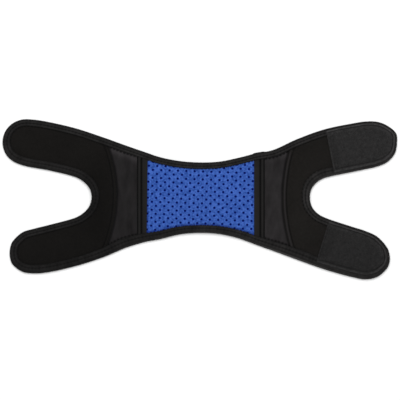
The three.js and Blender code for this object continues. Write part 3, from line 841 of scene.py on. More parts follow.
# %% [markdown]
# ## Foam wings
#
# Each wing is one C-shaped piece of foam between two fabrics, cut with its two arms. A filled outline
# would give long thin triangles and no place for relief. Instead the rows of a grid run across the C,
# from the notch to the outer edge, and follow one another from one arm's tip round to the other's. The
# foam swells between its seams. Along the curved seam it ends in a welt with a second line of stitches.

# %% Facing places on an arm
OUTER_STRETCHES = {"upper": "top", "lower": "bottom"}
# Shares of half the length between which an arm's two edges face each other.
ARM_START = 0.95
ARM_END = 0.63
# Knots from the middle of a tip to the start of either edge.
TIP_KNOTS = 2


def lap_near(number, target):
    """The same address, moved by whole laps of the edge to lie nearest to a target."""
    return number + len(knots) * np.rint((target - number) / len(knots))


def arm_numbers(side, level, outer_x, notch_x, tip_steps):
    """Facing addresses on an arm's outer edge and notch edge, from the middle of its tip inwards."""
    tip = sum(stretches[f"{side} {level} tip"]) / 2
    way = -1 if (side == "left") == (level == "upper") else 1
    steps = way * np.linspace(0, TIP_KNOTS, tip_steps)[:-1]
    outer = crossing(OUTER_STRETCHES[level], SIDES[side] * outer_x)
    notch = crossing(f"{side} {level} notch", SIDES[side] * notch_x)
    outer, notch = lap_near(outer, tip), lap_near(notch, tip)
    return np.concatenate((tip + steps, outer)), np.concatenate((tip - steps, notch))


def rows_between(first, second, count, crowding):
    """Rows of points from each point of a line to its fellow on another, crowded near both lines."""
    even = np.linspace(0, 1, count)
    shares = (1 - crowding) * even + crowding * (1 - np.cos(even * math.pi)) / 2
    return first[:, None] + (second - first)[:, None] * shares[:, None]


# %% Facing places round a wing
ROW_STEP = 1.6 * MM
WING_TIP_STEPS = 26
# Share of half the length at which an arm's outer edge meets the web of the wing.
FOOT = 0.56
# Steps from an arm's end to the foot of its outer edge, and from there to the curved seam.
FOOT_STEPS = 7
CORNER_STEPS = 13
# Knots from the middle of a notch's root to its ends, and to the rows that end at the curved seam.
ROOT_KNOTS = 3
SEAM_KNOTS = 2
SEAM_ROWS = 90
HIDDEN_ROWS = 5


def carried_on(numbers, *legs):
    """Addresses carried on by legs, each given by its last address and its number of steps."""
    for last, steps in legs:
        numbers = np.concatenate((numbers, np.linspace(numbers[-1], last, steps + 1)[1:]))
    return numbers


def wing_edges(side):
    """Facing points round a wing: on the notch, and on the outer edge or the curved seam."""
    sign = SIDES[side]
    root_middle = sum(stretches[f"{side} root"]) / 2
    xs = np.arange(ARM_START, ARM_END, -ROW_STEP / half_length) * half_length
    hidden = np.linspace(SHEET_INSET, OPEN_INSET, HIDDEN_ROWS + 1)[1:]
    notch_parts, outer_parts = [], []
    for level, corner_x, turn in zip(OUTER_STRETCHES, CURVED_SEAMS[side], (1, -1)):
        stretch = OUTER_STRETCHES[level]
        outer, notch = arm_numbers(side, level, xs, xs, WING_TIP_STEPS)
        foot = lap_near(crossing(stretch, sign * FOOT * half_length), outer[-1])
        corner = lap_near(crossing(stretch, sign * corner_x, OPEN_INSET), foot)
        root = lap_near(root_middle + turn * sign * ROOT_KNOTS, notch[-1])
        root_corner = root - turn * sign * (ROOT_KNOTS - SEAM_KNOTS)
        outer = carried_on(outer, (foot, FOOT_STEPS), (corner, CORNER_STEPS))
        notch = carried_on(notch, (root, FOOT_STEPS), (root_corner, CORNER_STEPS))
        outer_points, notch_points = (on_edge(numbers, SHEET_INSET)[0] for numbers in (outer, notch))
        held = np.repeat(notch_points[-1:], HIDDEN_ROWS, axis=0)
        outer_parts.append(np.concatenate((outer_points, on_edge(corner, hidden)[0]))[::turn])
        notch_parts.append(np.concatenate((notch_points, held))[::turn])
    along_seam = seam_line(side, np.linspace(0, 1, SEAM_ROWS + 2)[1:-1])
    reach = SEAM_KNOTS * sign
    root_numbers = np.linspace(root_middle + reach, root_middle - reach, SEAM_ROWS + 2)[1:-1]
    along_root = on_edge(root_numbers, SHEET_INSET)[0]
    return (
        np.concatenate((notch_parts[0], along_root, notch_parts[1])),
        np.concatenate((outer_parts[0], along_seam, outer_parts[1])),
    )


# %% Wings
WING_COLUMNS = 61
WING_CROWDING = 0.55
WELT_FOOT = 0.40 * MM
WELT_RISE = 0.85 * MM
WELT_WIDTHS = {"left": 4.0 * MM, "right": 4.8 * MM}
# Painted highlight along the middle of the welt: left, then right.
WELT_LIGHT = {"left": 0.20, "right": 0.90}
SEAM_SHADE = -0.80
WING_TACK_SHADE = 0.12
WING_DIMPLE = 0.35 * MM
WING_RIPPLE = (42 * MM, 0.16 * MM)
# Ripples grow from nothing at the tape's leg to their full height this far past it.
RIPPLE_ONSET = 8.5 * MM


def wing_relief(flat, side, seed):
    """Height of a wing's face above the middle of the cloth, and its tone."""
    past = past_leg(flat)[0]
    marks = tack_marks(flat)
    to_seam, _ = distance_to(seam_samples[side], flat)
    welt_width = WELT_WIDTHS[side]
    welt_share = np.clip(2 * to_seam / welt_width - 1, -1, 1)
    welt = WELT_FOOT + WELT_RISE * (1 - welt_share**4)
    field = KNIT_HALF + (WING_HALF - KNIT_HALF) * ramp(past, -0.5 * MM, 5.0 * MM)
    field += ripple(flat, seed, *WING_RIPPLE) * ramp(past, 0, RIPPLE_ONSET)
    past_welt = ramp(to_seam, welt_width, welt_width + 3.5 * MM)
    height = welt + (field - welt) * past_welt - WING_DIMPLE * marks
    height = np.where(past < 0, np.minimum(height, KNIT_HALF), height)
    tone = tone_and_painted_light(flat, WING_PLACES) * band(to_seam, SEAM_SHADE, 0, 0.8 * MM)
    tone *= band(to_seam, WELT_LIGHT[side], welt_width / 2, 1.1 * MM)
    tone *= band(to_seam, SEAM_SHADE, welt_width, 0.75 * MM) * (1 - WING_TACK_SHADE * marks)
    return height, tone


def wing(side, seed):
    """A wing from its facing edges, with more columns near both of them."""
    flat = rows_between(*wing_edges(side), WING_COLUMNS, WING_CROWDING)
    height, tone = wing_relief(flat, side, seed)
    return add_sheet(
        f"foam_wing_{side}", flat, height, -WING_HALF, tone, loop_finish, f"wing_{side}")


wings = {side: wing(side, seed) for side, seed in (("left", 11), ("right", 12))}

# %% [markdown]
# ## Pierced blue panel
#
# The panel is a knit on thin foam, punched with staggered rows of round holes. Light that reaches the
# funnel of a hole has met blue cloth more than once, so a deeper blue is painted there as painted shade.
# Cutting the holes with a boolean works, but leaves hard rims in a patchwork of triangles. Here one hole
# with the cloth round it is a tile like a brick, and a wall of such bricks has staggered holes by itself.
# The tiles' points meet, so they merge into one sheet. The sheet is then trimmed under the tapes and the
# binding.

# %% One tile
HOLE_PITCH = 10.43 * MM
HOLE_ROW = 4.98 * MM
HOLE_TURN = math.radians(-1.88)
FIRST_HOLE = np.array([PANEL_CENTRE - 4.35 * MM, -0.23 * MM])
HOLE_SIDES = 12
# Radius of each ring of a hole, and its height: the punch draws the cloth down into a funnel.
HOLE_RINGS = [
    (0.72 * MM, -0.75 * MM), (1.46 * MM, -0.25 * MM), (1.62 * MM, -0.04 * MM), (2.10 * MM, 0.04 * MM),
]
# Tones for those heights: painted shade down the funnel, and a faint painted highlight on its raised lip.
HOLE_TONES = [0.0, 0.04, 0.78, 1.08]


def brick_border(k):
    """Point k of 12 on the border of a brick round the origin, anticlockwise from the right."""
    signs = [(1, 0), (1, 1), (0.5, 1), (0, 1), (-0.5, 1), (-1, 1)]
    x, y = signs[k % 6]
    turn = 1 if k < 6 else -1
    return Vector((turn * x * HOLE_PITCH / 2, turn * y * HOLE_ROW / 2, 0))


def pierced_tile():
    """A brick of cloth with a soft-edged hole in its middle."""
    bm = bmesh.new()
    first_radius, first_height = HOLE_RINGS[0]
    ring = bmesh.ops.create_circle(bm, segments=HOLE_SIDES, radius=first_radius)["verts"]
    for vert in ring:
        vert.co.z = first_height
    edges = bm.edges[:]
    for radius, height in [*HOLE_RINGS[1:], ("halfway", 0), ("border", 0)]:
        made = bmesh.ops.extrude_edge_only(bm, edges=edges)
        edges = parts_of(made, bmesh.types.BMEdge)
        for vert in parts_of(made, bmesh.types.BMVert):
            angle = math.atan2(vert.co.y, vert.co.x)
            k = round(angle / (2 * math.pi) * HOLE_SIDES) % HOLE_SIDES
            direction = Vector((math.cos(k * math.pi / 6), math.sin(k * math.pi / 6), 0))
            border = brick_border(k)
            if radius == "border":
                vert.co = border
            elif radius == "halfway":
                vert.co = (border + direction * HOLE_RINGS[-1][0]) / 2
            else:
                vert.co = direction * radius
            vert.co.z = height
    return mesh_of(bm, "tile")


tile = pierced_tile()
print("one tile:", len(tile.polygons), "faces")

# %% The wall of tiles
LATTICE_ALONG = 85 * MM
LATTICE_ACROSS = 75 * MM
PANEL_REACH = 72 * MM


def copies(small, places):
    """One bmesh with a copy of a small mesh at each of the places, which are matrices."""
    bm = bmesh.new()
    for place in places:
        copy = small.copy()
        copy.transform(place)
        bm.from_mesh(copy)
        bpy.data.meshes.remove(copy)
    return bm


def lattice():
    """Places of the holes: rows that turn a little on the support, every second one moved on."""
    cos, sin = math.cos(HOLE_TURN), math.sin(HOLE_TURN)
    rows = math.ceil(LATTICE_ACROSS / HOLE_ROW)
    along = math.ceil(LATTICE_ALONG / HOLE_PITCH)
    spots = [
        ((i + (j % 2) / 2) * HOLE_PITCH, j * HOLE_ROW)
        for j in range(-rows, rows + 1) for i in range(-along, along + 1)
    ]
    return FIRST_HOLE + np.array(spots) @ np.array([[cos, sin], [-sin, cos]])


def wall_of_tiles():
    """A copy of the tile at each hole of the panel and a little beyond its edges."""
    turn = Matrix.Rotation(HOLE_TURN, 4, "Z")
    reach = PANEL_WIDTH / 2 + HOLE_PITCH
    return copies(tile, [
        Matrix.Translation((x, y, 0)) @ turn for x, y in lattice()
        if abs(x - PANEL_CENTRE) < reach and abs(y) < PANEL_REACH
    ])


# %% The blue panel, trimmed and draped
TILE_MERGE = 0.02 * MM
CUT_TOLERANCE = 0.001 * MM
PANEL_DIMPLE = 0.2 * MM
PANEL_RIPPLE = (30 * MM, 0.14 * MM)
PANEL_TACK_SHADE = 0.35
# Shade beside the seam tapes: amount, and the distances between which it fades.
JOINT_SHADE = (0.35, 0, 1.4 * MM)
# The seam tapes lie over the joints, the right one a little nearer the middle.
TAPE_WIDTH = 13.3 * MM
TAPE_MIDDLES = {"left": joints["left"] + 0.2 * MM, "right": joints["right"] - 1.6 * MM}


def panel_relief(flat, rises):
    """Height of the blue panel's face above the middle of the cloth, and its tone."""
    past, faces_down, _ = past_leg(flat)
    marks = tack_marks(flat)
    waves = ripple(flat, 21, *PANEL_RIPPLE) * ramp(past, 0, RIPPLE_ONSET)
    height = KNIT_HALF + rises + waves - PANEL_DIMPLE * marks
    tone = np.interp(rises, [rise for _, rise in HOLE_RINGS], HOLE_TONES)
    tone *= shade(past, 0.12 + 0.26 * faces_down, 0, (1.5 + 3.0 * faces_down) * MM)
    tone *= 1 - PANEL_TACK_SHADE * marks
    for side, sign in SIDES.items():
        tone *= shade(sign * (TAPE_MIDDLES[side] - flat[:, 0]) - TAPE_WIDTH / 2, *JOINT_SHADE)
    return height, tone


def trimmed_tiles(bm):
    """Cuts the wall of tiles to the panel, and settles it on the cloth with its thickness."""
    tone_layer = bm.verts.layers.float.new("tone")
    bmesh.ops.remove_doubles(bm, verts=bm.verts[:], dist=TILE_MERGE)
    for side, sign in SIDES.items():
        bmesh.ops.bisect_plane(
            bm, geom=bm.verts[:] + bm.edges[:] + bm.faces[:], dist=CUT_TOLERANCE,
            plane_co=(joints[side], 0, 0), plane_no=(sign, 0, 0), clear_outer=True)
    insets = inset_of(np.array([vert.co.xy for vert in bm.verts]))
    for vert, inset in zip(bm.verts, insets):
        vert.tag = bool(inset < SHEET_INSET)
    outside = [face for face in bm.faces if all(vert.tag for vert in face.verts)]
    bmesh.ops.delete(bm, geom=outside, context="FACES")
    flat = np.array([vert.co.xy for vert in bm.verts])
    over = np.array([vert.tag for vert in bm.verts])
    _, nearest = distance_to(edge_points, flat[over])
    flat[over] = edge_points[nearest] + edge_inward[nearest] * SHEET_INSET
    height, tone = panel_relief(flat, np.array([vert.co.z for vert in bm.verts]))
    for vert, place, share in zip(bm.verts, settle(flat, height), tone):
        vert.co = place
        vert[tone_layer] = share
    thicken(bm, -KNIT_HALF)


blue_mesh = reworked(mesh_of(wall_of_tiles(), "blue_panel"), trimmed_tiles)
blue_panel = add_piece("blue_panel", blue_mesh, blue_knit, ["perforated_panel"])

# %% [markdown]
# ## Black cloth behind the holes
#
# A thin black cloth closes the panel's back. What little light comes back from it through a hole is
# tinted by the blue cloth around, so this black is painted a little blue, as painted light from the blue
# cloth.
# The cloth only has to be there, lie close and end under the tapes, so a plain grid does.

# %% Backing cloth
BACKING_THICKNESS = 1.0 * MM
BACKING_LAP = 5.3 * MM
BACKING_ROWS = 40
BACKING_COLUMNS = 60


def backing():
    """The cloth behind the blue panel, inside the binding."""
    rows = np.linspace(0, 1, BACKING_ROWS)
    xs = np.linspace(joints["left"] - BACKING_LAP, joints["right"] + BACKING_LAP, BACKING_COLUMNS)
    flat = np.stack([column(x, x, rows) for x in xs], axis=1)
    return add_sheet(
        "backing_cloth", flat, -LEG_UNDERSIDE, -LEG_UNDERSIDE - BACKING_THICKNESS,
        np.ones(flat.shape[:-1]), backing_finish, "panel_backing")


backing_cloth = backing()

# %% [markdown]
# ## Seam tapes
#
# A ribbed tape covers each joint beside the blue panel. Two lines of stitches, 5 mm apart on its outer
# half, raise a rib between them. The tape is a section drawn point by point across it, swept down the
# joint: the section is what the eye reads here, so it has the most points.

# %% Tapes
# Distance from the tape's outer edge towards the blue panel and height above the middle of the cloth, both
# in millimetres, and tone, which paints shade in the stitch lines and at the outer edge and light on the
# rib.
TAPE_SECTION = [
    (0.00, 1.15, 0.30), (0.10, 1.50, 0.12), (0.45, 1.52, 0.05), (0.75, 1.42, 0.03), (1.15, 1.66, 0.10),
    (1.60, 2.00, 0.70), (2.40, 2.20, 1.22), (3.20, 2.24, 1.28), (4.00, 2.16, 1.05), (4.60, 1.96, 0.40),
    (5.10, 1.62, 0.05), (5.60, 1.40, 0.02), (6.10, 1.60, 0.06), (6.60, 1.84, 0.55), (7.50, 1.92, 1.10),
    (9.00, 1.95, 1.15), (11.00, 1.90, 1.20), (12.60, 1.80, 1.30), (13.10, 1.62, 1.10), (13.26, 1.38, 0.80),
    (13.30, 1.10, 0.60),
]
TAPE_ROWS = 110
TAPE_HIDDEN_FROM = 6.2 * MM
TAPE_UNDERSIDE = 1.0 * MM
# Height that a tape's ends keep where the edge tape holds them.
TAPE_CAUGHT = 1.80 * MM
TAPE_RIPPLE = (12 * MM, 0.04 * MM)
# How much the inner part of a tape is cut askew towards its lower end, and from which share of its width.
TAPE_LEANS = {"left": 3.0 * MM, "right": 0.0}
LEAN_FROM = 0.6
TAPE_END_SHADE = (0.4, 0, 1.2 * MM)


def seam_tape(side):
    """A tape over the joint beside the blue panel, its ends caught under the edge tape."""
    section = np.array(TAPE_SECTION) * (MM, MM, 1)
    outer_x = TAPE_MIDDLES[side] + SIDES[side] * TAPE_WIDTH / 2
    rows = np.linspace(0, 1, TAPE_ROWS)
    columns = []
    for away in section[:, 0]:
        x = outer_x - SIDES[side] * away
        lean = TAPE_LEANS[side] * max(away / TAPE_WIDTH - LEAN_FROM, 0)
        columns.append(column(x, x - lean, rows, hidden_from=TAPE_HIDDEN_FROM))
    flat = np.stack(columns, axis=1)
    past = past_leg(flat)[0]
    height = section[:, 1] + ripple(flat, 31, *TAPE_RIPPLE)
    caught = np.minimum(height, TAPE_CAUGHT)
    height = caught + (height - caught) * ramp(past, 0, 2.0 * MM)
    tone = tone_and_painted_light(flat, TAPE_PLACES) * section[:, 2] * shade(past, *TAPE_END_SHADE)
    print(f"{side} seam tape: {length_of(flat[:, len(section) // 2]) / MM:.0f} mm long")
    return add_sheet(
        f"joint_tape_{side}", flat, height, TAPE_UNDERSIDE, tone, seam_finish,
        f"seam_tape_{side}")


joint_tapes = {side: seam_tape(side) for side in SIDES}

# %% [markdown]
# ## Edge binding
#
# One tape is folded over the edge all the way round and sewn through both legs, so it has a puffed outer
# roll, a groove where the stitches sit, and a flat inner leg. A curve with a bevel object could sweep the
# section, but the relief changes at every stitch, and a swept bevel can't do that. So the binding is a
# grid: one direction runs round the edge with six places to each stitch, the other round the section.
# Tape bound round a tight curve also gathers, so small ruffles grow where the edge turns sharply.

# %% Section of the binding
PLACES_PER_STITCH = 6
LAP_FROM = 66.5 * MM
LAP_TO = 83.5 * MM
LAP_STEP = 0.9 * MM
# Inset and height in millimetres, and tone, which paints highlights on the roll and the ridges and shade in
# the
# groove: from the fold over the upper leg to its cut edge.
UPPER_LEG = [
    (0.00, 0.00, 0.70), (0.10, 0.70, 0.70), (0.42, 1.40, 0.72), (1.05, 1.96, 0.78), (1.90, 2.26, 0.85),
    (2.90, 2.42, 1.05), (3.90, 2.44, 1.25), (4.70, 2.26, 1.15), (5.30, 1.90, 0.65), (5.65, 1.62, 0.45),
    (5.80, 1.55, 0.40), (6.00, 1.64, 0.50), (6.50, 1.98, 0.90), (7.20, 2.20, 1.20), (8.00, 2.24, 1.30),
    (8.70, 2.16, 1.05), (9.20, 2.02, 0.75), (9.44, 1.78, 0.55), (9.50, 1.42, 0.55),
]
CHANNEL = [
    (9.20, 1.10, 0.80), (1.10, 1.15, 0.80), (0.92, 0.00, 0.80), (1.10, -1.15, 0.80), (9.20, -1.10, 0.80),
]
LOWER_LEG = [
    (9.50, -1.42, 0.60), (9.42, -1.90, 0.70), (8.90, -2.14, 1.00), (6.90, -2.17, 1.00), (6.20, -1.95, 0.60),
    (5.80, -1.80, 0.40), (5.40, -1.95, 0.60), (3.60, -2.17, 1.00), (2.00, -2.14, 1.00), (1.05, -1.90, 0.90),
    (0.42, -1.38, 0.80), (0.10, -0.70, 0.70),
]

# %% Bends and shades of the binding
TURN_SPAN = 3
TURN_SMOOTHING = 8
SHADE_SEED = 8
STITCH_SINK = 0.16 * MM
TACK_SINK = 0.18 * MM
TACK_INSET = 9.0 * MM
STITCH_SHADE = 0.26
TACK_SHADE = 0.32
LEG_SHADES = 0.32
# By how much the section's tones are softer on edges that face down.
SOFT_BELOW = 0.45
# Bands of painted highlight and painted shade on the tape: amount, inset of the middle, and width.
HIGHLIGHT_ON_ROLL = (1.6, 0.9 * MM, 0.65 * MM)
SHADED_ROLL = (-0.28, 1.8 * MM, 0.9 * MM)
HIGHLIGHT_BY_SEAMS = (1.1, 1.0 * MM, 0.7 * MM)
SHADED_BY_SEAMS = (-0.42, 2.6 * MM, 0.8 * MM)
HIGHLIGHT_BY_ROOT = (0.55, 3.4 * MM, 0.8 * MM)
SHADED_BY_ROOT = (-0.25, 1.8 * MM, 0.7 * MM)
# Between which places along the support the painted highlight on the roll grows.
HIGHLIGHT_GROWS = (-130 * MM, -90 * MM)
# Places and their reach: the curved seams along the support, and the right root along and across it.
NEAR_SEAMS = (115 * MM, 38 * MM)
NEAR_ROOT = ((137 * MM, 12 * MM), (0, 26 * MM))


def smoothed(ring, reach):
    """Values round a closed line, each the mean of itself and its neighbours within reach."""
    padded = np.concatenate((ring[-reach:], ring, ring[:reach]))
    return np.convolve(padded, np.ones(2 * reach + 1) / (2 * reach + 1), "valid")


def turning(points):
    """How sharply a closed line turns at each point, in 1/m, smoothed over its neighbours."""
    ahead = np.roll(points, -TURN_SPAN, axis=0) - points
    behind = points - np.roll(points, TURN_SPAN, axis=0)
    cross = behind[:, 0] * ahead[:, 1] - behind[:, 1] * ahead[:, 0]
    span = np.linalg.norm(ahead, axis=1) * np.linalg.norm(behind, axis=1)
    return smoothed(cross / np.maximum(span, 1e-12) / np.linalg.norm(ahead, axis=1), TURN_SMOOTHING)


def painted_light_on_tape(tone, edge, inward, inset, upper):
    """The edge tape's tone with its painted highlights and painted shade, which depend on where the edge
    faces.
    """
    x, y = edge[:, :1], edge[:, 1:]
    faces_down, faces_up = (facing[:, None] for facing in facings(inward))
    painted_highlight = faces_down * ramp(x, *HIGHLIGHT_GROWS) * upper
    by_seams = faces_down * bump_at(abs(x), *NEAR_SEAMS) * upper
    for where, (amount, centre, width) in (
            (painted_highlight, HIGHLIGHT_ON_ROLL), (faces_up, SHADED_ROLL),
            (by_seams * (x > 0), HIGHLIGHT_BY_SEAMS), (by_seams, SHADED_BY_SEAMS)):
        tone = tone * band(inset, amount * where, centre, width)
    by_root = bump_at(x, *NEAR_ROOT[0]) * bump_at(y, *NEAR_ROOT[1]) * upper
    ridge = sum(amount * bump_at(inset, *place) for amount, *place in (HIGHLIGHT_BY_ROOT, SHADED_BY_ROOT))
    return tone + by_root * ridge


def thread_shades(in_stitches, on_roll):
    """Shades of the tape that change from stitch to stitch, on the roll and on the flat leg."""
    dice = np.random.RandomState(SHADE_SEED)
    stitches = np.arange(len(stitch_numbers))
    roll_shade, leg_shade = (
        np.interp(in_stitches, stitches, dice.uniform(-1, 1, len(stitches)))[:, None] for _ in range(2))
    return roll_shade * on_roll + leg_shade * (1 - on_roll)


def lap_share(flat):
    """1 on the lap of the edge tape's ends, with soft steps at both sides of it, and otherwise 0."""
    x = flat[..., 0]
    step_up = ramp(x, LAP_FROM, LAP_FROM + 0.7 * MM)
    return step_up * (1 - ramp(x, LAP_TO - 5 * MM, LAP_TO))


# %% Binding round the whole edge
RUFFLE = 3.7 * MM
RUFFLE_HEIGHT = 0.17 * MM
# How far the slow waves push the ruffles out of step.
RUFFLE_DRIFT = 1.3
SLOW_HEIGHT = 0.05 * MM
# Bends tighter than these radii gather the inner leg and the outer roll fully.
INNER_GATHER = 22 * MM
OUTER_GATHER = 26 * MM
# Waves round the whole edge, and where each of them starts.
SLOW_WAVES = ((23, 0.4), (41, 2.0), (67, 4.1))


def binding():
    """The folded tape, as one ring of grid cells closed both ways."""
    stitches = np.arange(len(stitch_numbers))
    in_stitches = np.arange(stitches[-1] * PLACES_PER_STITCH + 1) / PLACES_PER_STITCH
    numbers = np.interp(in_stitches, stitches, stitch_numbers)
    edge, inward = on_edge(numbers)
    run = run_of(edge)
    around = 2 * math.pi * run / run[-1]
    section = np.array(UPPER_LEG + CHANNEL + LOWER_LEG + UPPER_LEG[:1]) * (MM, MM, 1)
    place = np.arange(len(section))
    upper = place < len(UPPER_LEG)
    outside = upper | (place >= len(UPPER_LEG) + len(CHANNEL))
    inset, height = (np.tile(section[:, k], (len(run), 1)) for k in (0, 1))
    on_roll = 1 - ramp(inset, 3.0 * MM, 4.8 * MM)
    at_stitch_end = np.cos(in_stitches * 2 * math.pi)[:, None] * outside
    at_tack = (1 - at_stitch_end) / 2 * bump_at(inset, TACK_INSET, 0.9 * MM) * upper

    tone = 1 + (section[:, 2] - 1) * (1 - SOFT_BELOW * facings(inward)[0][:, None])
    tone *= band(inset, -STITCH_SHADE * at_stitch_end, GROOVE_INSET, 2.4 * MM) * (1 - TACK_SHADE * at_tack)
    tone = painted_light_on_tape(tone, edge, inward, inset, upper)
    tone *= 1 + LEG_SHADES * thread_shades(in_stitches, on_roll) * ramp(inset, 0.4 * MM, 2 * MM)

    height -= STITCH_SINK * at_stitch_end * bump_at(inset, GROOVE_INSET, 1.2 * MM) * np.sign(height)
    height = np.maximum(height - TACK_SINK * at_tack, -LEG_TOP)
    slow = sum(np.sin(around * k + start) for k, start in SLOW_WAVES)[:, None]
    height += SLOW_HEIGHT * slow * on_roll * upper
    bend = turning(edge[:-1])
    bend = np.append(bend, bend[0])[:, None]
    gather = np.clip(bend * INNER_GATHER, 0, 1) * ramp(inset, 5.2 * MM, 9.0 * MM)
    gather += np.clip(-bend * OUTER_GATHER, 0, 1) * on_roll
    ruffles = round(run[-1] / RUFFLE)
    wave = np.sin(around * ruffles + RUFFLE_DRIFT * slow[:, 0])[:, None]
    height += RUFFLE_HEIGHT * gather * wave * upper
    on_top = (numbers > stretches["top"][0]) & (numbers < stretches["top"][1])
    lapped = (LAP_STEP * lap_share(edge) * on_top)[:, None]
    height += lapped * upper * ramp(height, 0, 1.5 * MM)
    inset -= lapped * outside * (1 - ramp(inset, 0.3 * MM, 1.2 * MM))

    shares = np.where(place <= len(UPPER_LEG), leg_share(edge, inward)[:, None], 1)
    for values in (inset, height, shares):
        values[:, -1] = values[:, 0]
    flat = edge[:, None] + inward[:, None] * (inset * shares)[..., None]
    cloth_size = (length_of(section[:, :2]), run[-1])
    tone = tone * tone_and_painted_light(flat, BINDING_PLACES)
    mesh = reworked(grid_mesh("edge_tape", settle(flat, height), tone, cloth_size))
    return add_piece("edge_tape", mesh, binding_finish, ["edge_binding"])


edge_tape = binding()

# %% [markdown]
# ## Thread
#
# A stitch is a short bulge of thread that dives into the cloth at both ends. One small stitch is modelled
# from a ball of few faces, and copies of it are laid end to end along every seam and joined, so that a
# whole line of stitches is one light mesh.

# %% One stitch, and lines of them
THREAD_RADIUS = 0.26 * MM
STITCH_DIVE = 0.9
STITCH_SWELL = 0.12


def small_stitch():
    """A stitch of length 1 along X, with its ends drawn down and a thickness of 1."""
    bm = bmesh.new()
    turn = Matrix.Rotation(math.pi / 2, 4, "Y")
    bmesh.ops.create_uvsphere(bm, u_segments=6, v_segments=6, radius=0.5, matrix=turn)
    for vert in bm.verts:
        share = abs(vert.co.x) * 2
        vert.co.z -= STITCH_DIVE * share**3
        vert.co.x *= 1 + STITCH_SWELL * (1 - share)
    return mesh_of(bm, "stitch")


stitch = small_stitch()


def stitch_matrices(starts, ends, radius=THREAD_RADIUS, down=False):
    """A matrix for each stitch from its two ends. down turns the stitches over for an underside."""
    up = Vector((0, 0, -1 if down else 1))
    matrices = []
    for start, end in zip(starts, ends):
        along = Vector(end) - Vector(start)
        side = up.cross(along).normalized()
        above = along.cross(side).normalized()
        turn = Matrix((along, side * radius * 2, above * radius * 2)).transposed().to_4x4()
        matrices.append(Matrix.Translation((Vector(start) + Vector(end)) / 2) @ turn)
    return matrices


def stitched(name, matrices):
    """All stitches of a seam, joined."""
    bm = copies(stitch, matrices)
    bmesh.ops.recalc_face_normals(bm, faces=bm.faces[:])
    return add_piece(name, mesh_of(bm, name), thread_finish)


def line_stitches(flat, height, gap=0.12, **options):
    """Stitches end to end along a line of flat points, with a gap as a share of a stitch."""
    places = settle(flat, height)
    steps = places[1:] - places[:-1]
    return stitch_matrices(places[:-1] + steps * gap / 2, places[1:] - steps * gap / 2, **options)


def lap_rise(flat):
    """How much higher a thread lies at flat points on the lap of the edge tape."""
    x, y = flat[:, 0], flat[:, 1]
    return LAP_STEP * ((x > LAP_FROM) & (x < LAP_TO) & (y > 0))


# %% Stitches of the binding, on both faces
STITCH_TOP = 1.68 * MM
STITCH_BELOW = -1.88 * MM
groove_line = on_edge(stitch_numbers, GROOVE_INSET * leg_share(*on_edge(stitch_numbers)))[0]
edge_stitches = stitched("edge_stitches", [
    *line_stitches(groove_line, STITCH_TOP + lap_rise(groove_line)),
    *line_stitches(on_edge(stitch_numbers, GROOVE_INSET)[0], STITCH_BELOW, radius=0.2 * MM, down=True),
])

# %% Stitches of the seam tapes, in two lines on each
TAPE_LINES = (0.70 * MM, 5.60 * MM)
TAPE_STITCH = 2.6 * MM
TAPE_THREAD_HEIGHT = 1.56 * MM


def tape_stitches(side):
    """Two lines of stitches down a tape's outer half."""
    matrices = []
    for away in TAPE_LINES:
        x = TAPE_MIDDLES[side] + SIDES[side] * (TAPE_WIDTH / 2 - away)
        count = round(length_of(column(x, x, [0, 1])) / TAPE_STITCH)
        matrices += line_stitches(column(x, x, np.linspace(0.01, 0.99, count)), TAPE_THREAD_HEIGHT)
    return stitched(f"joint_tape_stitches_{side}", matrices)


tape_threads = {side: tape_stitches(side) for side in SIDES}

# %% Stitches of the curved seams: a chain in the slit on both faces, and a line inside the welt
CHAIN_STITCH = 2.2 * MM
CHAIN_OVERLAP = -0.15
# Height and radius of the chain's thread on the face and on the underside.
CHAIN_ABOVE = (0.40 * MM, 0.36 * MM)
CHAIN_BELOW = (-0.75 * MM, 0.30 * MM)
WELT_STITCH = 2.7 * MM
WELT_THREAD_HEIGHT = 0.55 * MM


def seam_stitches(side):
    """The chain that closes a curved seam, and the line behind the wing's welt."""
    chain, beside = (
        seam_line(side, np.linspace(0, 1, round(seam_lengths[side] / pitch)))
        for pitch in (CHAIN_STITCH, WELT_STITCH))
    beside[:, 0] += SIDES[side] * WELT_WIDTHS[side]
    matrices = line_stitches(beside, WELT_THREAD_HEIGHT)
    for (height, radius), down in ((CHAIN_ABOVE, False), (CHAIN_BELOW, True)):
        matrices += line_stitches(chain, height, gap=CHAIN_OVERLAP, radius=radius, down=down)
    return stitched(f"curved_seam_stitches_{side}", matrices)


for side in SIDES:
    seam_stitches(side)

# %% [markdown]
# ## Tacks
#
# Between two stitches the thread runs over the tape's inner edge into the cloth and back, as a close pair
# of strokes. The pads are sewn on over the tape, so it has no tacks under them.

# %% Tacks round the edge
# Where each pad ends: along the outer edge, and along the notch.
PAD_ENDS = {"upper": (156.8 * MM, 168.3 * MM), "lower": (143.5 * MM, 161.8 * MM)}
TACK_RADIUS = 0.45 * MM
# Half the distance between the feet of a tack's two strokes, in knots, and how much wider their tops are.
STROKE_ASIDE = 0.030
STROKE_SPREAD = 1.6
TACK_TOP = 2.18 * MM
TACK_FOOT = 0.95 * MM
# How far a stroke starts on the tape, how far it reaches into the cloth, and how much further on the knit.
TACK_ON_TAPE = 1.5 * MM
TACK_ON_CLOTH = 1.2 * MM
TACK_MORE_ON_KNIT = 1.3 * MM


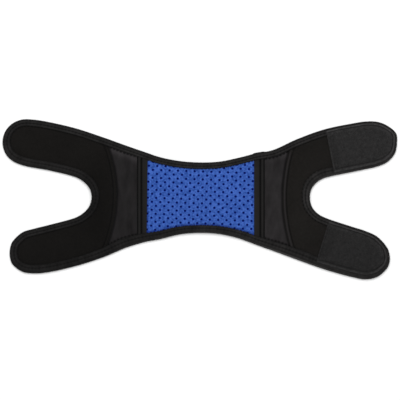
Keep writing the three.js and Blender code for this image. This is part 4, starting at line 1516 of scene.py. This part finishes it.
def tacks():
    """A pair of strokes over the tape's inner edge in the middle of each stitch."""
    ends = np.array([PAD_ENDS["lower"], PAD_ENDS["upper"]])
    x, y = tack_places.T
    free = x < ends[(y > 0) * 1, (abs(y) < half_width / 2) * 1]
    matrices = []
    for aside in (-STROKE_ASIDE, STROKE_ASIDE):
        tops = on_edge(tack_numbers + aside * STROKE_SPREAD, tack_legs - TACK_ON_TAPE)[0]
        feet = on_edge(tack_numbers + aside, tack_legs + TACK_ON_CLOTH + TACK_MORE_ON_KNIT * on_knit)[0]
        tops, feet = settle(tops, TACK_TOP + lap_rise(tack_places)), settle(feet, TACK_FOOT)
        matrices += stitch_matrices(tops[free], feet[free], radius=TACK_RADIUS)
    return stitched("edge_tacks", matrices)


edge_tacks = tacks()

# %% [markdown]
# ## Hook pads
#
# A hook pad is a woven base full of small plastic hooks, sewn over the inner half of the binding and the
# wing. The base is a sheet like the wings, with a firm selvedge, a stitched groove and a flat field. The
# hooks are real shapes: they catch the light as a hook tape does and show in a close view.

# %% Bases of the pads
PAD_EDGE_LINE = 2.3 * MM
BORDER_SAMPLES = 1440
PAD_THICKNESS = 0.5 * MM
PAD_STITCH = 2.7 * MM
PAD_HEIGHT = 2.70 * MM
PAD_SINK = 0.50 * MM
PAD_GROOVE = 0.30 * MM
# How much higher the selvedge is half a millimetre inside a pad's edge.
PAD_SWELL = 0.42 * MM
PAD_RIPPLE = (30 * MM, 0.05 * MM)
PAD_ROWS = 46
PAD_TIP_STEPS = 30
PAD_COLUMNS = 49
PAD_CROWDING = 0.5
# How far a pad's border lies inside the edge, and how much more it does where the edge faces down.
PAD_INSETS = {"upper": (3.0 * MM, 0.3 * MM), "lower": (4.1 * MM, 1.4 * MM)}
# Tone of the selvedge, the painted shade of the groove and the painted highlight of the rim, and the change
# of each on edges that face down and at the inner end.
PAD_BANDS = ((0.75, -0.52, -0.60), (-0.62, 0.22, 0.30), (0.22, -0.34, -0.20))


def pad_edges(level):
    """Facing points on the notch side and the outer side of a pad, from the tip inwards."""
    inset, lean = PAD_INSETS[level]
    start = ARM_START * half_length
    xs = (start + (end - start) * np.linspace(0, 1, PAD_ROWS) for end in PAD_ENDS[level])
    outer, notch = (
        on_edge(numbers, inset + lean * on_edge(numbers)[1][:, 1])[0]
        for numbers in arm_numbers("right", level, *xs, PAD_TIP_STEPS))
    return notch, outer


def pad_border(level):
    """A pad's border as a closed line of samples: points, directions inwards, insets of the stitches, and
    1 along the end that is sewn to the wing.

    The selvedge bends over the edge tape's roll, so more of it is seen where the edge faces down."""
    notch, outer = pad_edges(level)
    corner_points = np.concatenate((notch[::-1], outer[1:], notch[-1:]))
    run = run_of(corner_points)
    fine = np.linspace(0, run[-1], BORDER_SAMPLES + 1)[:-1]
    points = np.column_stack([np.interp(fine, run, corner_points[:, axis]) for axis in (0, 1)])
    tangents = np.roll(points, -1, axis=0) - points
    inward = np.column_stack((-tangents[:, 1], tangents[:, 0]))
    inward *= np.sign(((points.mean(0) - points) * inward).sum())
    inward /= np.linalg.norm(inward, axis=1)[:, None]
    faces_down = smoothed(facings(inward)[0], BORDER_SAMPLES // 24)
    return points, inward, PAD_EDGE_LINE * (1 + 0.9 * faces_down), ramp(inward[:, 0], 0.5, 0.85)


def across_border(level, flat):
    """For flat points on a pad: distance from its border, inset of the stitches, whether they lie inside,
    and how near they are to the inner end."""
    border, inward, lines, ends = pad_border(level)
    away, nearest = distance_to(border, flat)
    inside = ((flat - border[nearest]) * inward[nearest]).sum(-1) > 0
    return away, lines[nearest], inside, ends[nearest]


def pad_top(flat, away, line):
    """Height of a pad's base above the middle of the cloth, by distance from its border."""
    past = past_leg(flat)[0]
    edge = PAD_HEIGHT + PAD_SWELL * ramp(away, 0, 0.5 * MM)
    groove = PAD_GROOVE * bump_at(away, line, 0.55 * MM)
    sink = PAD_SINK * ramp(past, -1 * MM, 5 * MM) * ramp(away, 1 * MM, 5 * MM)
    return edge - groove - sink + ripple(flat, 41, *PAD_RIPPLE)


def pad_tone(flat, away, line, end):
    """Tone of a pad's base: a lighter selvedge, partly its own colour and partly painted light that is
    weaker on edges that face down, painted shade in the stitched groove, and a painted highlight on the
    rim.
    """
    faces_down = line / PAD_EDGE_LINE - 1
    selvedge, groove, rim = (
        amount + below * faces_down + inner * end for amount, below, inner in PAD_BANDS)
    tone = tone_and_painted_light(flat, PAD_PLACES) * band(away, selvedge, 1.0 * MM, (0.8 + 1.2 * faces_down) * MM)
    tone *= band(away, groove, line, (0.7 + 0.5 * faces_down) * MM)
    tone *= shade(away, 0.14 * end, 8 * MM, 16 * MM)
    return tone * band(away, rim, line + 2.3 * MM, 2.2 * MM)


def hook_pad_base(level):
    """The woven base of a hook pad."""
    flat = rows_between(*pad_edges(level), PAD_COLUMNS, PAD_CROWDING)
    away, line, _, end = across_border(level, flat)

    def underside(points):
        return pad_top(points, *across_border(level, points)[:2]) - PAD_THICKNESS

    return add_sheet(
        f"hook_base_{level}", flat, pad_top(flat, away, line), underside, pad_tone(flat, away, line, end),
        selvedge_finish, f"hook_pad_{level}")


pad_bases = {level: hook_pad_base(level) for level in PAD_ENDS}

# %% One hook, and the field of them
HOOK_ALONG = 1.75 * MM
HOOK_ACROSS = 1.45 * MM
HOOK_HALF = 0.11 * MM
HOOK_LEG = 0.45 * MM
HOOK_BEND = 0.3 * MM
HOOK_TURN = math.radians(200)
HOOK_CLEAR = 1.0 * MM
# How deep a hook's foot stands in the base.
HOOK_DEPTH = 0.03 * MM
# How far a hook may be turned and may lean, either way, in radians.
HOOK_SWING = 0.2
HOOK_LEAN = 0.12


def small_hook():
    """A cane-shaped hook: a square leg that goes up and bends over through half a turn."""
    bm = bmesh.new()
    bmesh.ops.create_grid(bm, x_segments=1, y_segments=1, size=HOOK_HALF)
    top = parts_of(bmesh.ops.extrude_face_region(bm, geom=bm.faces[:]), bmesh.types.BMVert)
    bmesh.ops.translate(bm, verts=top, vec=(0, 0, HOOK_LEG))
    cap = max(bm.faces, key=lambda face: face.calc_center_median().z)
    bmesh.ops.spin(
        bm, geom=[cap], cent=(HOOK_BEND, 0, HOOK_LEG), axis=(0, 1, 0), angle=HOOK_TURN, steps=5,
        use_merge=False)
    bmesh.ops.delete(bm, geom=[cap], context="FACES_ONLY")
    bmesh.ops.remove_doubles(bm, verts=bm.verts[:], dist=0.005 * MM)
    bmesh.ops.recalc_face_normals(bm, faces=bm.faces[:])
    return mesh_of(bm, "hook")


hook = small_hook()
print("one hook:", len(hook.polygons), "faces")


def hook_field(level, seed):
    """Rows of hooks that face left and right by turns, inside the stitched border."""
    border = pad_border(level)[0]
    low, high = border.min(0), border.max(0)
    dice = np.random.RandomState(seed)
    length, width = high - low
    rows = np.mgrid[:int(width / HOOK_ACROSS) + 1, :int(length / HOOK_ALONG) + 1]
    row, place = (numbers.ravel() for numbers in rows)
    spots = low + np.column_stack(((place + row % 2 / 2) * HOOK_ALONG, row * HOOK_ACROSS))
    away, line, inside, _ = across_border(level, spots)
    keep = inside & (away > line + HOOK_CLEAR)
    feet = settle(spots[keep], pad_top(spots[keep], away[keep], line[keep]) - HOOK_DEPTH)
    matrices = []
    for foot, half_turns in zip(feet, row[keep] % 2):
        turn = Matrix.Rotation(half_turns * math.pi + dice.uniform(-HOOK_SWING, HOOK_SWING), 4, "Z")
        lean = Matrix.Rotation(dice.uniform(-HOOK_LEAN, HOOK_LEAN), 4, "X")
        matrices.append(Matrix.Translation(foot) @ turn @ lean)
    print(len(matrices), "hooks on the", level, "pad")
    mesh = mesh_of(copies(hook, matrices), f"hooks_{level}")
    return add_piece(f"hooks_{level}", mesh, hook_finish)


hook_fields = {level: hook_field(level, seed) for level, seed in (("upper", 5), ("lower", 6))}

# %% Stitches round the pads
# Height of the thread above the bottom of its groove.
PAD_THREAD_LIFT = 0.1 * MM


def pad_stitches(level):
    """A line of stitches in the groove all round a pad."""
    border, inward, lines, _ = pad_border(level)
    ring = np.column_stack((border + inward * lines[:, None], lines))
    ring = np.concatenate((ring, ring[:1]))
    run = run_of(ring[:, :2])
    fine = np.linspace(0, run[-1], round(run[-1] / PAD_STITCH) + 1)
    x, y, inset = (np.interp(fine, run, values) for values in ring.T)
    spots = np.column_stack((x, y))
    heights = pad_top(spots, inset, inset) + PAD_THREAD_LIFT
    return stitched(f"pad_stitches_{level}", line_stitches(spots, heights))


pad_threads = {level: pad_stitches(level) for level in PAD_ENDS}

# %% [markdown]
# ## Pad borders
#
# The border of each pad is worked out once more here; nothing is kept from it.

# %% Pad borders


for level in PAD_ENDS:
    border = pad_border(level)[0]

# %% [markdown]
# ## Floor, light and camera
#
# The support lies on a plain near-white floor under a large soft light, with a white world that fills
# the shadows. The camera looks straight down through a long lens, so that the height of the cloth
# hardly shifts its outline.

# %% Floor
FLOOR_SIZE = 6.0
FLOOR_COLOUR = (0.87, 0.87, 0.87, 1)


def pale_floor():
    """A plain pale floor under the object."""
    bm = bmesh.new()
    bmesh.ops.create_grid(bm, x_segments=1, y_segments=1, size=FLOOR_SIZE / 2)
    mesh = mesh_of(bm, "floor")
    material, _, shader = new_finish("floor", 0.9, 0.0)
    shader.inputs["Base Color"].default_value = FLOOR_COLOUR
    mesh.materials.append(material)
    made = bpy.data.objects.new("floor", mesh)
    bpy.context.scene.collection.objects.link(made)
    return made


floor = pale_floor()

# %% Light
LIGHT_PLACE = (-0.1, 0.75, 1.7)
LIGHT_SIZE = 1.6
LIGHT_POWER = 34.5
SKY_STRENGTH = 0.59
lamp = bpy.data.lights.new("soft_light", "AREA")
lamp.shape = "SQUARE"
lamp.size = LIGHT_SIZE
lamp.energy = LIGHT_POWER
light = bpy.data.objects.new("soft_light", lamp)
light.location = LIGHT_PLACE
light.rotation_euler = (-Vector(LIGHT_PLACE)).to_track_quat("-Z", "Y").to_euler()
bpy.context.scene.collection.objects.link(light)
world = bpy.data.worlds.new("white_room")
world.use_nodes = True
world.node_tree.nodes["Background"].inputs["Strength"].default_value = SKY_STRENGTH
world.node_tree.nodes["Background"].inputs["Color"].default_value = (1, 1, 1, 1)
bpy.context.scene.world = world

# %% Camera
VIEW_WIDTH = 500 * MM
VIEW_CENTRE = np.array([0.304, -1.05]) * MM
CAMERA_HEIGHT = 2.5
SENSOR_WIDTH = 36
lens = bpy.data.cameras.new("camera")
lens.sensor_width = SENSOR_WIDTH
lens.lens = SENSOR_WIDTH * CAMERA_HEIGHT / VIEW_WIDTH
camera = bpy.data.objects.new("camera", lens)
camera.location = (*(VIEW_CENTRE + shift), CAMERA_HEIGHT + LEG_TOP)
bpy.context.scene.collection.objects.link(camera)
bpy.context.scene.camera = camera
bpy.context.scene.view_settings.view_transform = "Standard"
print(f"lens {lens.lens:.0f} mm")
